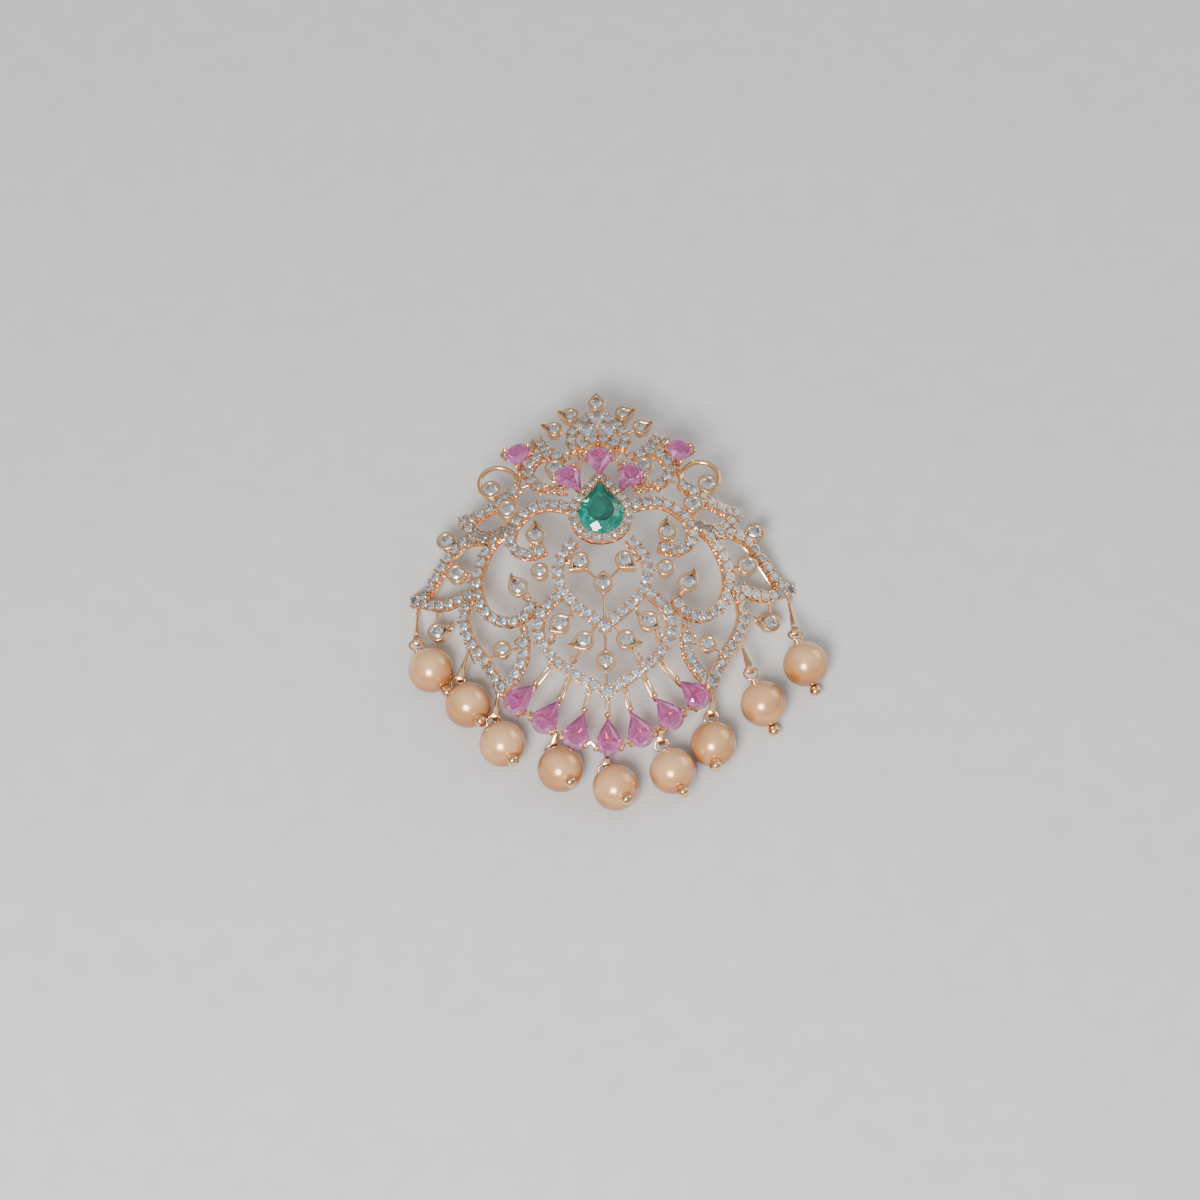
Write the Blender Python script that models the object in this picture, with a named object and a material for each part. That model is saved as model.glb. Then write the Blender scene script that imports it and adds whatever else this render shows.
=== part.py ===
"""An openwork pendant: curled bands of small stones on a domed gold frame, lying on its back.

The frame holds a pear-shaped green stone, twelve pink pears and a fringe of nine pearls. X runs across
the pendant, Y from the pearls to the crown, Z up from the surface that it lies on. Lengths in metres.
"""

import math

import bmesh
import bpy
from mathutils import Vector

# The frame, a dome that is fixed by its half width and its half height
HALF_WIDTH = 0.0220
HALF_HEIGHT = 0.0220
DOME_TOP = 0.0098
DOME_RADIUS_ACROSS = 0.0320
DOME_RADIUS_ALONG = 0.0600
DOME_TOP_Y = 0.364

# The bands of small stones
BAND_WIDTH = 0.00130
BAND_DEPTH = 0.00095
STONE_PITCH = 0.00130
STONE_DIAMETER = 0.00108
STONE_RISE = 0.00025
STONE_REACH = 0.84
HALO_PITCH = 0.00115

# Collets, the closed cups of gold round the larger white stones
COLLET_DEPTH = 0.00130
JOINT_DEPTH = 0.00080
COLLET_LIFT = 0.00035
COLLET_RIM = 0.00030
COLLET_SIDES = 8
COLLET_STONE_RISE = 0.00030

# Wires, bars and the two loops that a chain is tied to
WIRE_DIAMETER = 0.00034
BAR_WIDTH = 0.00042
LOOP_DIAMETER = 0.00500
LOOP_WIRE = 0.00060
LOOP_DROP = 0.00030
LOOP_SIDES = 10
WIRE_SIDES = 5

# Cut stones
PINK_LENGTH = 0.00440
PINK_WIDTH = 0.00300
GREEN_LENGTH = 0.00700
GREEN_WIDTH = 0.00530
CROWN_SHARE = 0.16
PAVILION_SHARE = 0.30
TABLE_SHARE = 0.60
PEAR_SIDES = 12
SEAT_GAP = 0.00010
PRONG_DIAMETER = 0.00050
HALO_WIDTH = 0.00105
HALO_LIFT = 0.00060

# Pearls, each drilled for a head pin whose eye hangs in a hook of the frame
PEARL_DIAMETER = 0.00522
PEARL_SIDES = 12
PEARL_RINGS = 7
PEARL_BORE = 0.00050
PIN_WIRE = 0.00026
PIN_BALL = 0.00105
PIN_COLLAR = 0.00040
EYE_DIAMETER = 0.00190
EYE_SIDES = 8
HOOK_LENGTH = 0.00200
HOOK_WIDTH = 0.00060
HOOK_HEIGHT = 0.00095
HOOK_BORE = 0.00056
HOOK_DEPTH = 0.00050

# The hook's outline, as shares of its length and height, from its bore
HOOK_OUTLINE = [(-0.36, -0.28), (0.00, -0.50), (0.62, -0.16), (0.62, 0.16), (0.00, 0.50), (-0.36, 0.28)]

# Bands of one side, as shares of the half width and the half height, and their lift in band depths
BANDS = {
    "crown_arch": (0.10, [(0.120, 0.842), (0.145, 0.889), (0.145, 0.942), (0.127, 0.988),
                          (0.098, 1.030), (0.043, 1.073)]),
    "inner_arch": (0.20, [(0.100, 0.850), (0.069, 0.892), (0.037, 0.909), (0.000, 0.914)]),
    "upper_scroll": (0.00, [(0.202, 0.796), (0.251, 0.836), (0.310, 0.835), (0.354, 0.804),
                            (0.375, 0.755), (0.374, 0.700), (0.350, 0.658), (0.300, 0.608)]),
    "upper_branch": (-0.10, [(0.272, 0.850), (0.294, 0.900), (0.325, 0.940)]),
    "shoulder_top": (0.00, [(0.432, 0.645), (0.490, 0.603), (0.534, 0.584), (0.571, 0.551),
                            (0.659, 0.520), (0.705, 0.510)]),
    "shoulder_back": (0.10, [(0.712, 0.480), (0.665, 0.420), (0.616, 0.380), (0.541, 0.371),
                             (0.480, 0.392)]),
    "inner_scroll": (0.00, [(0.165, 0.470), (0.242, 0.501), (0.293, 0.506), (0.348, 0.501),
                            (0.394, 0.473), (0.435, 0.441), (0.471, 0.397), (0.481, 0.336),
                            (0.473, 0.284), (0.428, 0.237), (0.368, 0.220), (0.301, 0.241)]),
    "side_scroll": (-0.08, [(0.510, 0.395), (0.575, 0.340), (0.607, 0.302), (0.627, 0.255),
                            (0.646, 0.207), (0.659, 0.148), (0.659, 0.086), (0.653, 0.028),
                            (0.630, -0.029), (0.595, -0.080), (0.543, -0.117), (0.490, -0.136),
                            (0.434, -0.126), (0.391, -0.095), (0.377, -0.046)]),
    "wing_top": (0.08, [(0.600, 0.362), (0.661, 0.380), (0.701, 0.389), (0.744, 0.377),
                        (0.782, 0.351), (0.822, 0.310), (0.852, 0.269), (0.884, 0.228),
                        (0.911, 0.185), (0.943, 0.155), (0.965, 0.150)]),
    "wing_foot": (0.00, [(0.965, 0.125), (0.917, 0.095), (0.878, 0.068), (0.836, 0.060),
                         (0.790, 0.056), (0.745, 0.067), (0.680, 0.070)]),
    "upper_heart": (0.10, [(0.145, 0.262), (0.197, 0.209), (0.225, 0.161), (0.235, 0.105),
                           (0.227, 0.042), (0.206, -0.019), (0.170, -0.068), (0.131, -0.108),
                           (0.086, -0.141), (0.030, -0.196)]),
    "lower_heart": (0.02, [(0.225, -0.020), (0.274, -0.057), (0.312, -0.094), (0.339, -0.139),
                           (0.346, -0.199), (0.338, -0.256), (0.305, -0.310), (0.271, -0.359),
                           (0.231, -0.397), (0.185, -0.434), (0.138, -0.465), (0.090, -0.494),
                           (0.030, -0.527)]),
    "point_outer": (0.04, [(0.712, 0.040), (0.726, -0.010), (0.734, -0.064), (0.724, -0.126),
                           (0.700, -0.189), (0.668, -0.245), (0.633, -0.298), (0.605, -0.352),
                           (0.575, -0.408), (0.562, -0.438)]),
    "point_inner": (0.12, [(0.526, -0.460), (0.495, -0.440), (0.463, -0.402), (0.433, -0.355),
                           (0.422, -0.302), (0.421, -0.235)]),
}

# Bands whose stones are too many for this mesh, and stay with the picture
PLAIN_BANDS = ("crown_arch", "inner_arch")

# Single stones where bands meet in a point: x, y, diameter in stone diameters; the middle ones stand once
JOINT_SEATS = [
    (0.000, -0.219, 1.25), (0.000, -0.548, 1.25), (0.000, 1.045, 1.60), (0.060, 0.966, 1.60),
    (0.545, -0.465, 1.25), (0.722, 0.508, 1.15), (0.985, 0.142, 1.30), (0.359, 0.905, 0.80),
]

# Collets of one side: x, y, diameter, reach of tip and tail in diameters, heading of the tip in degrees
COLLETS = [
    (0.000, 1.165, 0.00210, 0.85, 0.50, 90),
    (0.139, 1.090, 0.00210, 0.85, 0.50, 20),
    (0.230, 0.997, 0.00215, 0.85, 0.50, 25),
    (0.232, 0.724, 0.00250, 0.50, 0.50, 0),
    (0.575, 0.657, 0.00250, 0.50, 0.50, 0),
    (0.490, 0.509, 0.00250, 0.50, 0.50, 0),
    (0.345, 0.322, 0.00235, 0.75, 0.50, 112),
    (0.327, 0.110, 0.00215, 0.50, 0.50, 0),
    (0.441, 0.040, 0.00240, 0.80, 0.50, 50),
    (0.817, 0.422, 0.00240, 0.80, 0.50, 202),
    (0.764, 0.206, 0.00250, 0.50, 0.50, 0),
    (0.874, -0.082, 0.00235, 0.80, 0.50, 166),
    (0.114, 0.143, 0.00235, 0.80, 0.50, -40),
    (0.000, 0.014, 0.00240, 0.66, 0.62, 90),
    (0.228, -0.188, 0.00250, 0.68, 0.64, -35),
    (0.107, -0.287, 0.00240, 0.80, 0.50, -35),
    (0.000, -0.395, 0.00245, 0.70, 0.66, -90),
    (0.531, -0.275, 0.00215, 0.50, 0.50, 0),
]

# Wires of one side between two places, through the metal at both ends
WIRES = [
    ((0.139, 1.090), (0.110, 1.020)), ((0.230, 0.997), (0.140, 0.960)),
    ((0.232, 0.724), (0.270, 0.830)),
    ((0.232, 0.724), (0.120, 0.842)), ((0.345, 0.322), (0.368, 0.220)),
    ((0.327, 0.110), (0.235, 0.105)), ((0.441, 0.040), (0.377, -0.046)),
    ((0.764, 0.206), (0.852, 0.269)),
    ((0.764, 0.206), (0.659, 0.148)), ((0.874, -0.082), (0.868, 0.066)),
    ((0.114, 0.143), (0.225, 0.161)), ((0.114, 0.143), (0.000, 0.014)),
    ((0.228, -0.188), (0.150, -0.095)), ((0.228, -0.188), (0.305, -0.300)),
    ((0.107, -0.287), (0.045, -0.196)), ((0.107, -0.287), (0.200, -0.425)),
    ((0.531, -0.275), (0.430, -0.270)), ((0.531, -0.275), (0.640, -0.300)),
    ((0.421, -0.245), (0.434, -0.126)), ((0.377, -0.090), (0.339, -0.139)),
    ((0.490, 0.509), (0.435, 0.441)), ((0.575, 0.657), (0.571, 0.551)),
    ((0.305, 0.612), (0.170, 0.560)),
    ((0.726, 0.020), (0.655, 0.020)), ((0.350, 0.658), (0.432, 0.645)),
    ((0.060, 0.966), (0.127, 0.988)), ((0.359, 0.905), (0.310, 0.918)),
]

# Wires on the axis
MIDDLE_WIRES = [
    ((0.000, 0.014), (0.000, -0.219)), ((0.000, -0.219), (0.000, -0.395)),
    ((0.000, -0.395), (0.000, -0.548)), ((0.000, 0.914), (0.000, 1.165)),
    ((0.000, 0.914), (0.000, 0.640)),
]

# Pink pears: x and y of the point, heading to the round end in degrees, length in pink lengths, lift
PINKS = {
    "crown_middle": (0.000, 0.630, 90, 0.98, 0.00100),
    "crown_side": (0.098, 0.532, 56, 0.98, 0.00125),
    "shoulder": (0.430, 0.768, 88, 0.77, 0.00060),
    "fringe_outer": (0.372, -0.482, -37, 0.98, 0.00010),
    "fringe_side": (0.250, -0.573, -52, 0.98, 0.00010),
    "fringe_inner": (0.122, -0.642, -69, 0.98, 0.00010),
    "fringe_middle": (0.000, -0.672, -90, 0.98, 0.00010),
}

# Places of the frame from which bars and wires run to the forks of the pink pears
BARS = {
    "fringe_outer": (0.262, -0.372), "fringe_side": (0.188, -0.455),
    "fringe_inner": (0.088, -0.515), "fringe_middle": (0.000, -0.560),
}
FORK_WIRES = {"shoulder": (0.374, 0.715)}

# Pearls from left to right: x, y, heading and climb of the pin's ball, then where the hook leaves the
# frame, which is a place on the dome or the fork of a pink pear and its knee, 1 or -1, or its foot, 0
PEARLS = [
    (-0.905, -0.309, -57, -4, (-0.975, 0.130)),
    (-0.716, -0.519, -62, 22, (-0.698, -0.192)),
    (-0.543, -0.748, -67, 24, (-0.553, -0.460)),
    (-0.250, -0.902, -66, 34, ("pink_fringe_side_left", 1)),
    (0.028, -1.015, -64, 36, ("pink_fringe_middle", 0)),
    (0.322, -0.931, -71, 15, ("pink_fringe_side_right", -1)),
    (0.536, -0.785, -88, 17, (0.553, -0.460)),
    (0.805, -0.563, -67, -27, (0.698, -0.192)),
    (1.038, -0.338, -69, -27, (0.975, 0.130)),
]

GOLD = ("rose gold", (0.90, 0.58, 0.33, 1.0), 0.18, 1.0)
PINK = ("pink stone", (0.80, 0.22, 0.50, 1.0), 0.05, 0.0)
GREEN = ("green stone", (0.01, 0.30, 0.20, 1.0), 0.05, 0.0)
NACRE = ("golden nacre", (0.86, 0.62, 0.38, 1.0), 0.25, 0.0)


def clear_scene():
    """Remove whatever the scene holds."""
    for item in list(bpy.data.objects):
        bpy.data.objects.remove(item, do_unlink=True)


def new_collection(name, hidden=False):
    """Make a collection in the scene."""
    collection = bpy.data.collections.new(name)
    collection.hide_render = hidden
    bpy.context.scene.collection.children.link(collection)
    return collection


def finish(name, colour, roughness, metallic):
    """Make a material with one Principled shader."""
    material = bpy.data.materials.new(name)
    material.use_nodes = True
    shader = material.node_tree.nodes["Principled BSDF"]
    shader.inputs["Base Color"].default_value = colour
    shader.inputs["Roughness"].default_value = roughness
    shader.inputs["Metallic"].default_value = metallic
    return material


def dome_height(x, y):
    """Height of the frame's upper face."""
    reach = min(abs(x), 0.9 * DOME_RADIUS_ACROSS)
    across = DOME_RADIUS_ACROSS - math.sqrt(DOME_RADIUS_ACROSS**2 - reach**2)
    along = y - DOME_TOP_Y * HALF_HEIGHT
    return DOME_TOP - across - (DOME_RADIUS_ALONG - math.sqrt(DOME_RADIUS_ALONG**2 - along**2))


def on_dome(share_x, share_y, lift=0.0):
    """The point of the dome at these shares of the half width and half height."""
    x, y = share_x * HALF_WIDTH, share_y * HALF_HEIGHT
    return Vector((x, y, dome_height(x, y) + lift))


def dome_normal(x, y):
    """The dome's outward direction over a point."""
    step = BAND_WIDTH / 4
    slope_x = (dome_height(x + step, y) - dome_height(x - step, y)) / (2 * step)
    slope_y = (dome_height(x, y + step) - dome_height(x, y - step)) / (2 * step)
    return Vector((-slope_x, -slope_y, 1)).normalized()


def smooth_path(points, spacing):
    """Evenly spaced points, spacing apart or nearly, on a smooth curve through the given ones."""
    ends = [2 * points[0] - points[1], *points, 2 * points[-1] - points[-2]]
    fine = []
    for before, start, stop, after in zip(ends, ends[1:], ends[2:], ends[3:]):
        for step in range(12):
            t = step / 12
            fine.append(0.5 * (2 * start + (stop - before) * t
                               + (2 * before - 5 * start + 4 * stop - after) * t**2
                               + (3 * start - before - 3 * stop + after) * t**3))
    fine.append(points[-1])
    run = [0.0]
    for start, stop in zip(fine, fine[1:]):
        run.append(run[-1] + (stop - start).length)
    count = max(2, round(run[-1] / spacing))
    path, place = [], 0
    for step in range(count + 1):
        target = run[-1] * step / count
        while place < len(fine) - 2 and run[place + 1] < target:
            place += 1
        share = (target - run[place]) / (run[place + 1] - run[place])
        path.append(fine[place].lerp(fine[place + 1], min(share, 1.0)))
    return path


def loft(mesh, rings, closed=False, skip=None):
    """Join rings of equally many vertices by faces, and cap the ends unless the rings close on themselves.

    The face between places skip and skip + 1 of each pair of rings is left open.
    """
    pairs = list(zip(rings, rings[1:])) + ([(rings[-1], rings[0])] if closed else [])
    count = len(rings[0])
    for first, second in pairs:
        for place in range(count):
            if place != skip:
                after = (place + 1) % count
                mesh.faces.new((first[place], first[after], second[after], second[place]))
    if not closed:
        mesh.faces.new(rings[0][::-1])
        mesh.faces.new(rings[-1])


def ring_of(mesh, centre, across, along, radii):
    """A ring of vertices at these radii, evenly turned from across towards along."""
    count = len(radii)
    turns = [2 * math.pi * place / count for place in range(count)]
    return [mesh.verts.new(centre + radius * (math.cos(turn) * across + math.sin(turn) * along))
            for turn, radius in zip(turns, radii)]


def seat_stone(mesh, corners, up, reach):
    """Close a four-cornered cell with a small stone: a border of gold, eight facets and a table.

    Reach is the share of the cell that the stone fills.
    """
    centre = sum((corner.co for corner in corners), Vector()) / 4
    girdle, table = [], []
    for corner, after in zip(corners, corners[1:] + corners[:1]):
        girdle.append(mesh.verts.new(centre.lerp(corner.co, reach)))
        table.append(mesh.verts.new(centre.lerp((corner.co + after.co) / 2, reach * TABLE_SHARE * 1.2)
                                    + STONE_RISE * up))
    for place in range(4):
        after = (place + 1) % 4
        mesh.faces.new((corners[place], corners[after], girdle[after], girdle[place]))
        mesh.faces.new((girdle[place], girdle[after], table[place]))
        mesh.faces.new((girdle[after], table[after], table[place]))
    mesh.faces.new(table)


def object_from(mesh, name, collection, material):
    """Turn a mesh's faces outwards and make it an object."""
    bmesh.ops.recalc_face_normals(mesh, faces=mesh.faces)
    data = bpy.data.meshes.new(name)
    mesh.to_mesh(data)
    mesh.free()
    data.materials.append(material)
    made = bpy.data.objects.new(name, data)
    collection.objects.link(made)
    return made


def build_band(name, path, width, depth, stone, collection, material, closed=False):
    """A band of gold along a path on the dome, with a stone in each of its cells if it has any."""
    mesh = bmesh.new()
    sections = []
    for place, point in enumerate(path):
        before, after = path[max(place - 1, 0)], path[min(place + 1, len(path) - 1)]
        if closed:
            before, after = path[place - 1], path[(place + 1) % len(path)]
        up = dome_normal(point.x, point.y)
        side = up.cross(after - before).normalized() * width / 2
        down = up * depth
        corners = (point - side, point + side, point + side - down, point - side - down)
        sections.append([mesh.verts.new(corner) for corner in corners])
    loft(mesh, sections, closed, skip=0 if stone else None)
    pairs = list(zip(sections, sections[1:])) + ([(sections[-1], sections[0])] if closed else [])
    for first, second in pairs if stone else []:
        corners = [first[0], second[0], second[1], first[1]]
        seat_stone(mesh, corners, dome_normal(first[0].co.x, first[0].co.y), stone)
    return object_from(mesh, name, collection, material)


def build_collet(name, centre, diameter, depth, tip, tail, heading, rim, collection, material):
    """A cup of gold, round or with points at its tip and tail, closed round a stone with a table.

    Tip and tail are the reach of those points in diameters.
    """
    mesh = bmesh.new()
    along, across, up = axes_on_dome(centre.x, centre.y, heading)
    outline = [diameter / 2] * COLLET_SIDES
    outline[0], outline[COLLET_SIDES // 2] = tip * diameter, tail * diameter
    stone = [diameter / 2 - rim] * COLLET_SIDES
    rings = [ring_of(mesh, centre - up * depth, along, across, [0.8 * reach for reach in outline]),
             ring_of(mesh, centre, along, across, outline)]
    if rim:
        rings.append(ring_of(mesh, centre, along, across, stone))
    rings.append(ring_of(mesh, centre + up * COLLET_STONE_RISE, along, across,
                         [TABLE_SHARE * reach for reach in stone]))
    loft(mesh, rings)
    return object_from(mesh, name, collection, material)


def build_wire(name, points, radii, sides, collection, material):
    """A wire through the points, as thick at each as its radius says."""
    mesh = bmesh.new()
    rings = []
    start = (points[1] - points[0]).normalized()
    side = Vector((0, 0, 1)) if abs(start.z) < 0.7 else Vector((0, 1, 0))
    for place, (point, radius) in enumerate(zip(points, radii)):
        into = (point - points[max(place - 1, 0)]).normalized()
        onward = (points[min(place + 1, len(points) - 1)] - point).normalized()
        heading = (into + onward).normalized()
        side = (side - side.dot(heading) * heading).normalized()
        rings.append(ring_of(mesh, point, side, heading.cross(side), [radius] * sides))
    loft(mesh, rings)
    return object_from(mesh, name, collection, material)


def build_torus(name, centre, across, along, radius, wire, count, sides, collection, material):
    """A closed ring of wire in the plane of two directions."""
    mesh = bmesh.new()
    axis = across.cross(along)
    rings = []
    for place in range(count):
        turn = 2 * math.pi * place / count
        out = math.cos(turn) * across + math.sin(turn) * along
        rings.append(ring_of(mesh, centre + radius * out, out, axis, [wire] * sides))
    loft(mesh, rings, closed=True)
    return object_from(mesh, name, collection, material)


def pear_outline(length, width, count):
    """A pear's outline from its point, which is the origin, as lengths along and across its axis.

    The round end is an arc of the width's radius, and straight sides run from it to the point.
    """
    radius = width / 2
    middle = length - radius
    reach = math.acos(radius / middle)
    outline = [(0.0, 0.0)]
    for place in range(count - 1):
        turn = math.pi - reach - (2 * math.pi - 2 * reach) * place / (count - 2)
        outline.append((middle + radius * math.cos(turn), radius * math.sin(turn)))
    return outline


def axes_on_dome(x, y, heading):
    """Directions along a heading, across it and out of the dome."""
    up = dome_normal(x, y)
    turn = math.radians(heading)
    along = Vector((math.cos(turn), math.sin(turn), 0))
    along = (along - along.dot(up) * up).normalized()
    return along, up.cross(along), up


def build_pear(name, point, along, across, up, length, width, collection, material):
    """A pear-cut stone: a table, a crown of facets and a pavilion that meets below."""
    mesh = bmesh.new()
    outline = pear_outline(length, width, PEAR_SIDES)
    heart = length - width / 2
    rise, fall = CROWN_SHARE * width, PAVILION_SHARE * width

    def ring(share, height):
        return [mesh.verts.new(point + (heart + (x - heart) * share) * along + y * share * across + height * up)
                for x, y in outline]

    girdle, table = ring(1.0, 0.0), ring(TABLE_SHARE, rise)
    culet = mesh.verts.new(point + heart * along - fall * up)
    for place in range(PEAR_SIDES):
        after = (place + 1) % PEAR_SIDES
        mesh.faces.new((girdle[place], girdle[after], table[after], table[place]))
        mesh.faces.new((girdle[after], girdle[place], culet))
    mesh.faces.new(table)
    return object_from(mesh, name, collection, material)


def build_bands(collection, material):
    """All bands, on both sides, with the single stones where they meet."""
    made = []
    for name, (lift, shares) in BANDS.items():
        for side, sign in (("right", 1), ("left", -1)):
            path = smooth_path([on_dome(sign * x, y, lift * BAND_DEPTH) for x, y in shares], STONE_PITCH)
            reach = 0.0 if name in PLAIN_BANDS else STONE_REACH
            made.append(build_band(f"{name}_{side}", path, BAND_WIDTH, BAND_DEPTH, reach, collection,
                                   material))
    for number, (x, y, size) in enumerate(JOINT_SEATS):
        for sign in (1, -1) if x else (1,):
            centre = on_dome(sign * x, y, 0.2 * BAND_DEPTH)
            made.append(build_collet(f"joint_{number}_{sign}", centre, size * STONE_DIAMETER, JOINT_DEPTH,
                                     0.5, 0.5, 0, 0.0, collection, material))
    return made


def build_halo(collection, material):
    """The pear-shaped band of stones round the green stone, raised above the dome."""
    apart = HALO_WIDTH / 2 + SEAT_GAP
    point_apart = apart * (GREEN_LENGTH - GREEN_WIDTH / 2) / (GREEN_WIDTH / 2)
    point_y = green_point().y + point_apart
    outline = pear_outline(GREEN_LENGTH + apart + point_apart, GREEN_WIDTH + 2 * apart, 24)
    flat = [Vector((y, point_y - x, 0)) for x, y in outline]
    path = smooth_path(flat + flat[:1], HALO_PITCH)[:-1]
    for point in path:
        point.z = dome_height(point.x, point.y) + HALO_LIFT
    return build_band("halo", path, HALO_WIDTH, BAND_DEPTH + HALO_LIFT, 0.0, collection, material,
                      closed=True)


def green_point():
    """The green stone's point, towards the crown."""
    return on_dome(0.0, 0.450 + GREEN_LENGTH / 2 / HALF_HEIGHT, HALO_LIFT + SEAT_GAP)


def pinks():
    """Every pink stone with its place: name, point, directions, length and width."""
    for name, (share_x, share_y, heading, share, lift) in PINKS.items():
        for side, sign in (("right", 1), ("left", -1)) if share_x else (("", 1),):
            point = on_dome(sign * share_x, share_y, lift)
            turned = heading if sign == 1 else 180 - heading
            middle = point + Vector((math.cos(math.radians(turned)), math.sin(math.radians(turned)), 0)) * (
                share * PINK_LENGTH / 2)
            along, across, up = axes_on_dome(middle.x, middle.y, turned)
            yield (f"pink_{name}_{side}".rstrip("_"), point, along, across, up, share * PINK_LENGTH,
                   PINK_WIDTH)


def forks():
    """Under each pink stone a fork of wire: the stone's name, then the fork's bow and its spine.

    The bow runs from prong to prong by a knee on each side and the foot below, the spine from the foot to
    the prong at the stone's point.
    """
    thick = PRONG_DIAMETER / 2
    for name, point, along, across, up, length, width in pinks():
        fall = PAVILION_SHARE * width + SEAT_GAP + WIRE_DIAMETER / 2
        heart = point + (length - width / 2) * along
        foot = heart - up * fall - along * WIRE_DIAMETER
        out = (width / 2 + SEAT_GAP + thick) * across
        knee = (width / 2 + SEAT_GAP) * across
        rise = up * PRONG_DIAMETER * 0.6
        bow = [heart + out + rise, heart + knee - up * fall * 0.6, foot, heart - knee - up * fall * 0.6,
               heart - out + rise]
        yield name, bow, [foot, point - up * fall, point - along * (SEAT_GAP + thick) + up * thick]


def fork_place(name, side):
    """The knee of a pink stone's fork on one side, or its foot."""
    return next(bow[2 - side] for other, bow, _ in forks() if other == name)


def build_prongs(collection, material):
    """The forks of the pink stones."""
    made = []
    thin, thick = WIRE_DIAMETER / 2, PRONG_DIAMETER / 2
    for name, bow, spine in forks():
        radii = [thick, thick * 0.8, thin, thick * 0.8, thick]
        made.append(build_wire(f"{name}_bow", bow, radii, 4, collection, material))
        made.append(build_wire(f"{name}_spine", spine, [thin * 0.9, thin, thick], 4, collection, material))
    return made


def build_bars(collection, material):
    """Bars to the points of the fringe, thicker where they meet the stones, and wires to other forks."""
    made = []
    thin = WIRE_DIAMETER / 2
    for name, _, spine in forks():
        sign = -1 if name.endswith("left") else 1
        own = name.removeprefix("pink_").removesuffix("_left").removesuffix("_right")
        if own in BARS:
            first = on_dome(sign * BARS[own][0], BARS[own][1], -BAND_DEPTH / 3)
            made.append(build_wire(f"{name}_bar", [first, first.lerp(spine[-1], 0.80), spine[-1]],
                                   [BAR_WIDTH / 2, BAR_WIDTH / 2, BAR_WIDTH * 0.7], 4, collection,
                                   material))
        if own in FORK_WIRES:
            first = on_dome(sign * FORK_WIRES[own][0], FORK_WIRES[own][1], -BAND_DEPTH / 2)
            made.append(build_wire(f"{name}_wire", [first, spine[0]], [thin] * 2, 3, collection, material))
    return made


def build_loops(collection, material):
    """The two flat rings by which the pendant is tied to its chain."""
    made = []
    for sign in (1, -1):
        centre = on_dome(sign * 0.534, 0.696, -LOOP_DROP)
        made.append(build_torus(f"loop_{sign}", centre, Vector((1, 0, 0)), Vector((0, 1, 0)),
                                (LOOP_DIAMETER - LOOP_WIRE) / 2, LOOP_WIRE / 2, LOOP_SIDES, 6,
                                collection, material))
    return made


def pearl_rings(ball):
    """A drilled pearl's rings of points about its centre, from the bore's one end to the other."""
    across = ball.cross(Vector((1, 0, 0))).normalized()
    radius = PEARL_DIAMETER / 2
    pole = math.acos(PEARL_BORE / PEARL_DIAMETER)
    rings = []
    for place in range(PEARL_RINGS):
        turn = pole - 2 * pole * place / (PEARL_RINGS - 1)
        out = [math.cos(step) * across + math.sin(step) * ball.cross(across)
               for step in (2 * math.pi * side / PEARL_SIDES for side in range(PEARL_SIDES))]
        rings.append([radius * (math.sin(turn) * ball + math.cos(turn) * point) for point in out])
    return rings


def pearls(floor):
    """Every pearl, its lowest point on the floor.

    Each is its number, centre, heading of its ball, foot of its eye, heading to its hook and hook's root.
    """
    for number, (x, y, heading, climb, start) in enumerate(PEARLS):
        turn, rise = math.radians(heading), math.radians(climb)
        ball = Vector((math.cos(turn) * math.cos(rise), math.sin(turn) * math.cos(rise), math.sin(rise)))
        lowest = min(point.z for ring in pearl_rings(ball) for point in ring)
        centre = Vector((x * HALF_WIDTH, y * HALF_HEIGHT, floor - lowest))
        foot = centre - ball * (PEARL_DIAMETER / 2 + PIN_COLLAR)
        root = fork_place(*start) if isinstance(start[0], str) else on_dome(*start, -HOOK_DEPTH)
        yield number, centre, ball, foot, (root - foot).normalized(), root


def side_of(away):
    """The direction nearest to X that is square to another."""
    return (Vector((1, 0, 0)) - away.x * away).normalized()


def build_hooks(floor, collection, material):
    """From the frame's edge to each pearl a wire that ends in a flat hook, pierced from side to side."""
    made = []
    for number, _, _, foot, away, root in pearls(floor):
        bore = foot + away * (EYE_DIAMETER - PIN_WIRE)
        side = side_of(away)
        up = side.cross(away)
        mesh = bmesh.new()
        rings = []
        for edge in (-0.5, 0.5):
            rings.append([mesh.verts.new(bore + side * edge * HOOK_WIDTH + away * x * HOOK_LENGTH
                                         + up * y * HOOK_HEIGHT) for x, y in HOOK_OUTLINE])
        loft(mesh, rings)
        plate = object_from(mesh, f"hook_{number}", collection, material)
        drill = build_wire(f"hook_{number}_drill", [bore - side * HOOK_WIDTH, bore + side * HOOK_WIDTH],
                           [HOOK_BORE / 2] * 2, 6, collection, material)
        cut(plate, drill, "DIFFERENCE")
        bpy.data.objects.remove(drill)
        made.append(plate)
        made.append(build_wire(f"hook_{number}_wire", [bore + away * HOOK_LENGTH * 0.45, root],
                               [WIRE_DIAMETER / 2] * 2, 4, collection, material))
    return made


def cut(target, other, operation):
    """Apply a Boolean with one other object, and keep the result as the target's mesh."""
    modifier = target.modifiers.new("cut", "BOOLEAN")
    modifier.operation = operation
    modifier.object = other
    graph = bpy.context.evaluated_depsgraph_get()
    data = bpy.data.meshes.new_from_object(target.evaluated_get(graph))
    target.modifiers.clear()
    target.data = data


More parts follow.
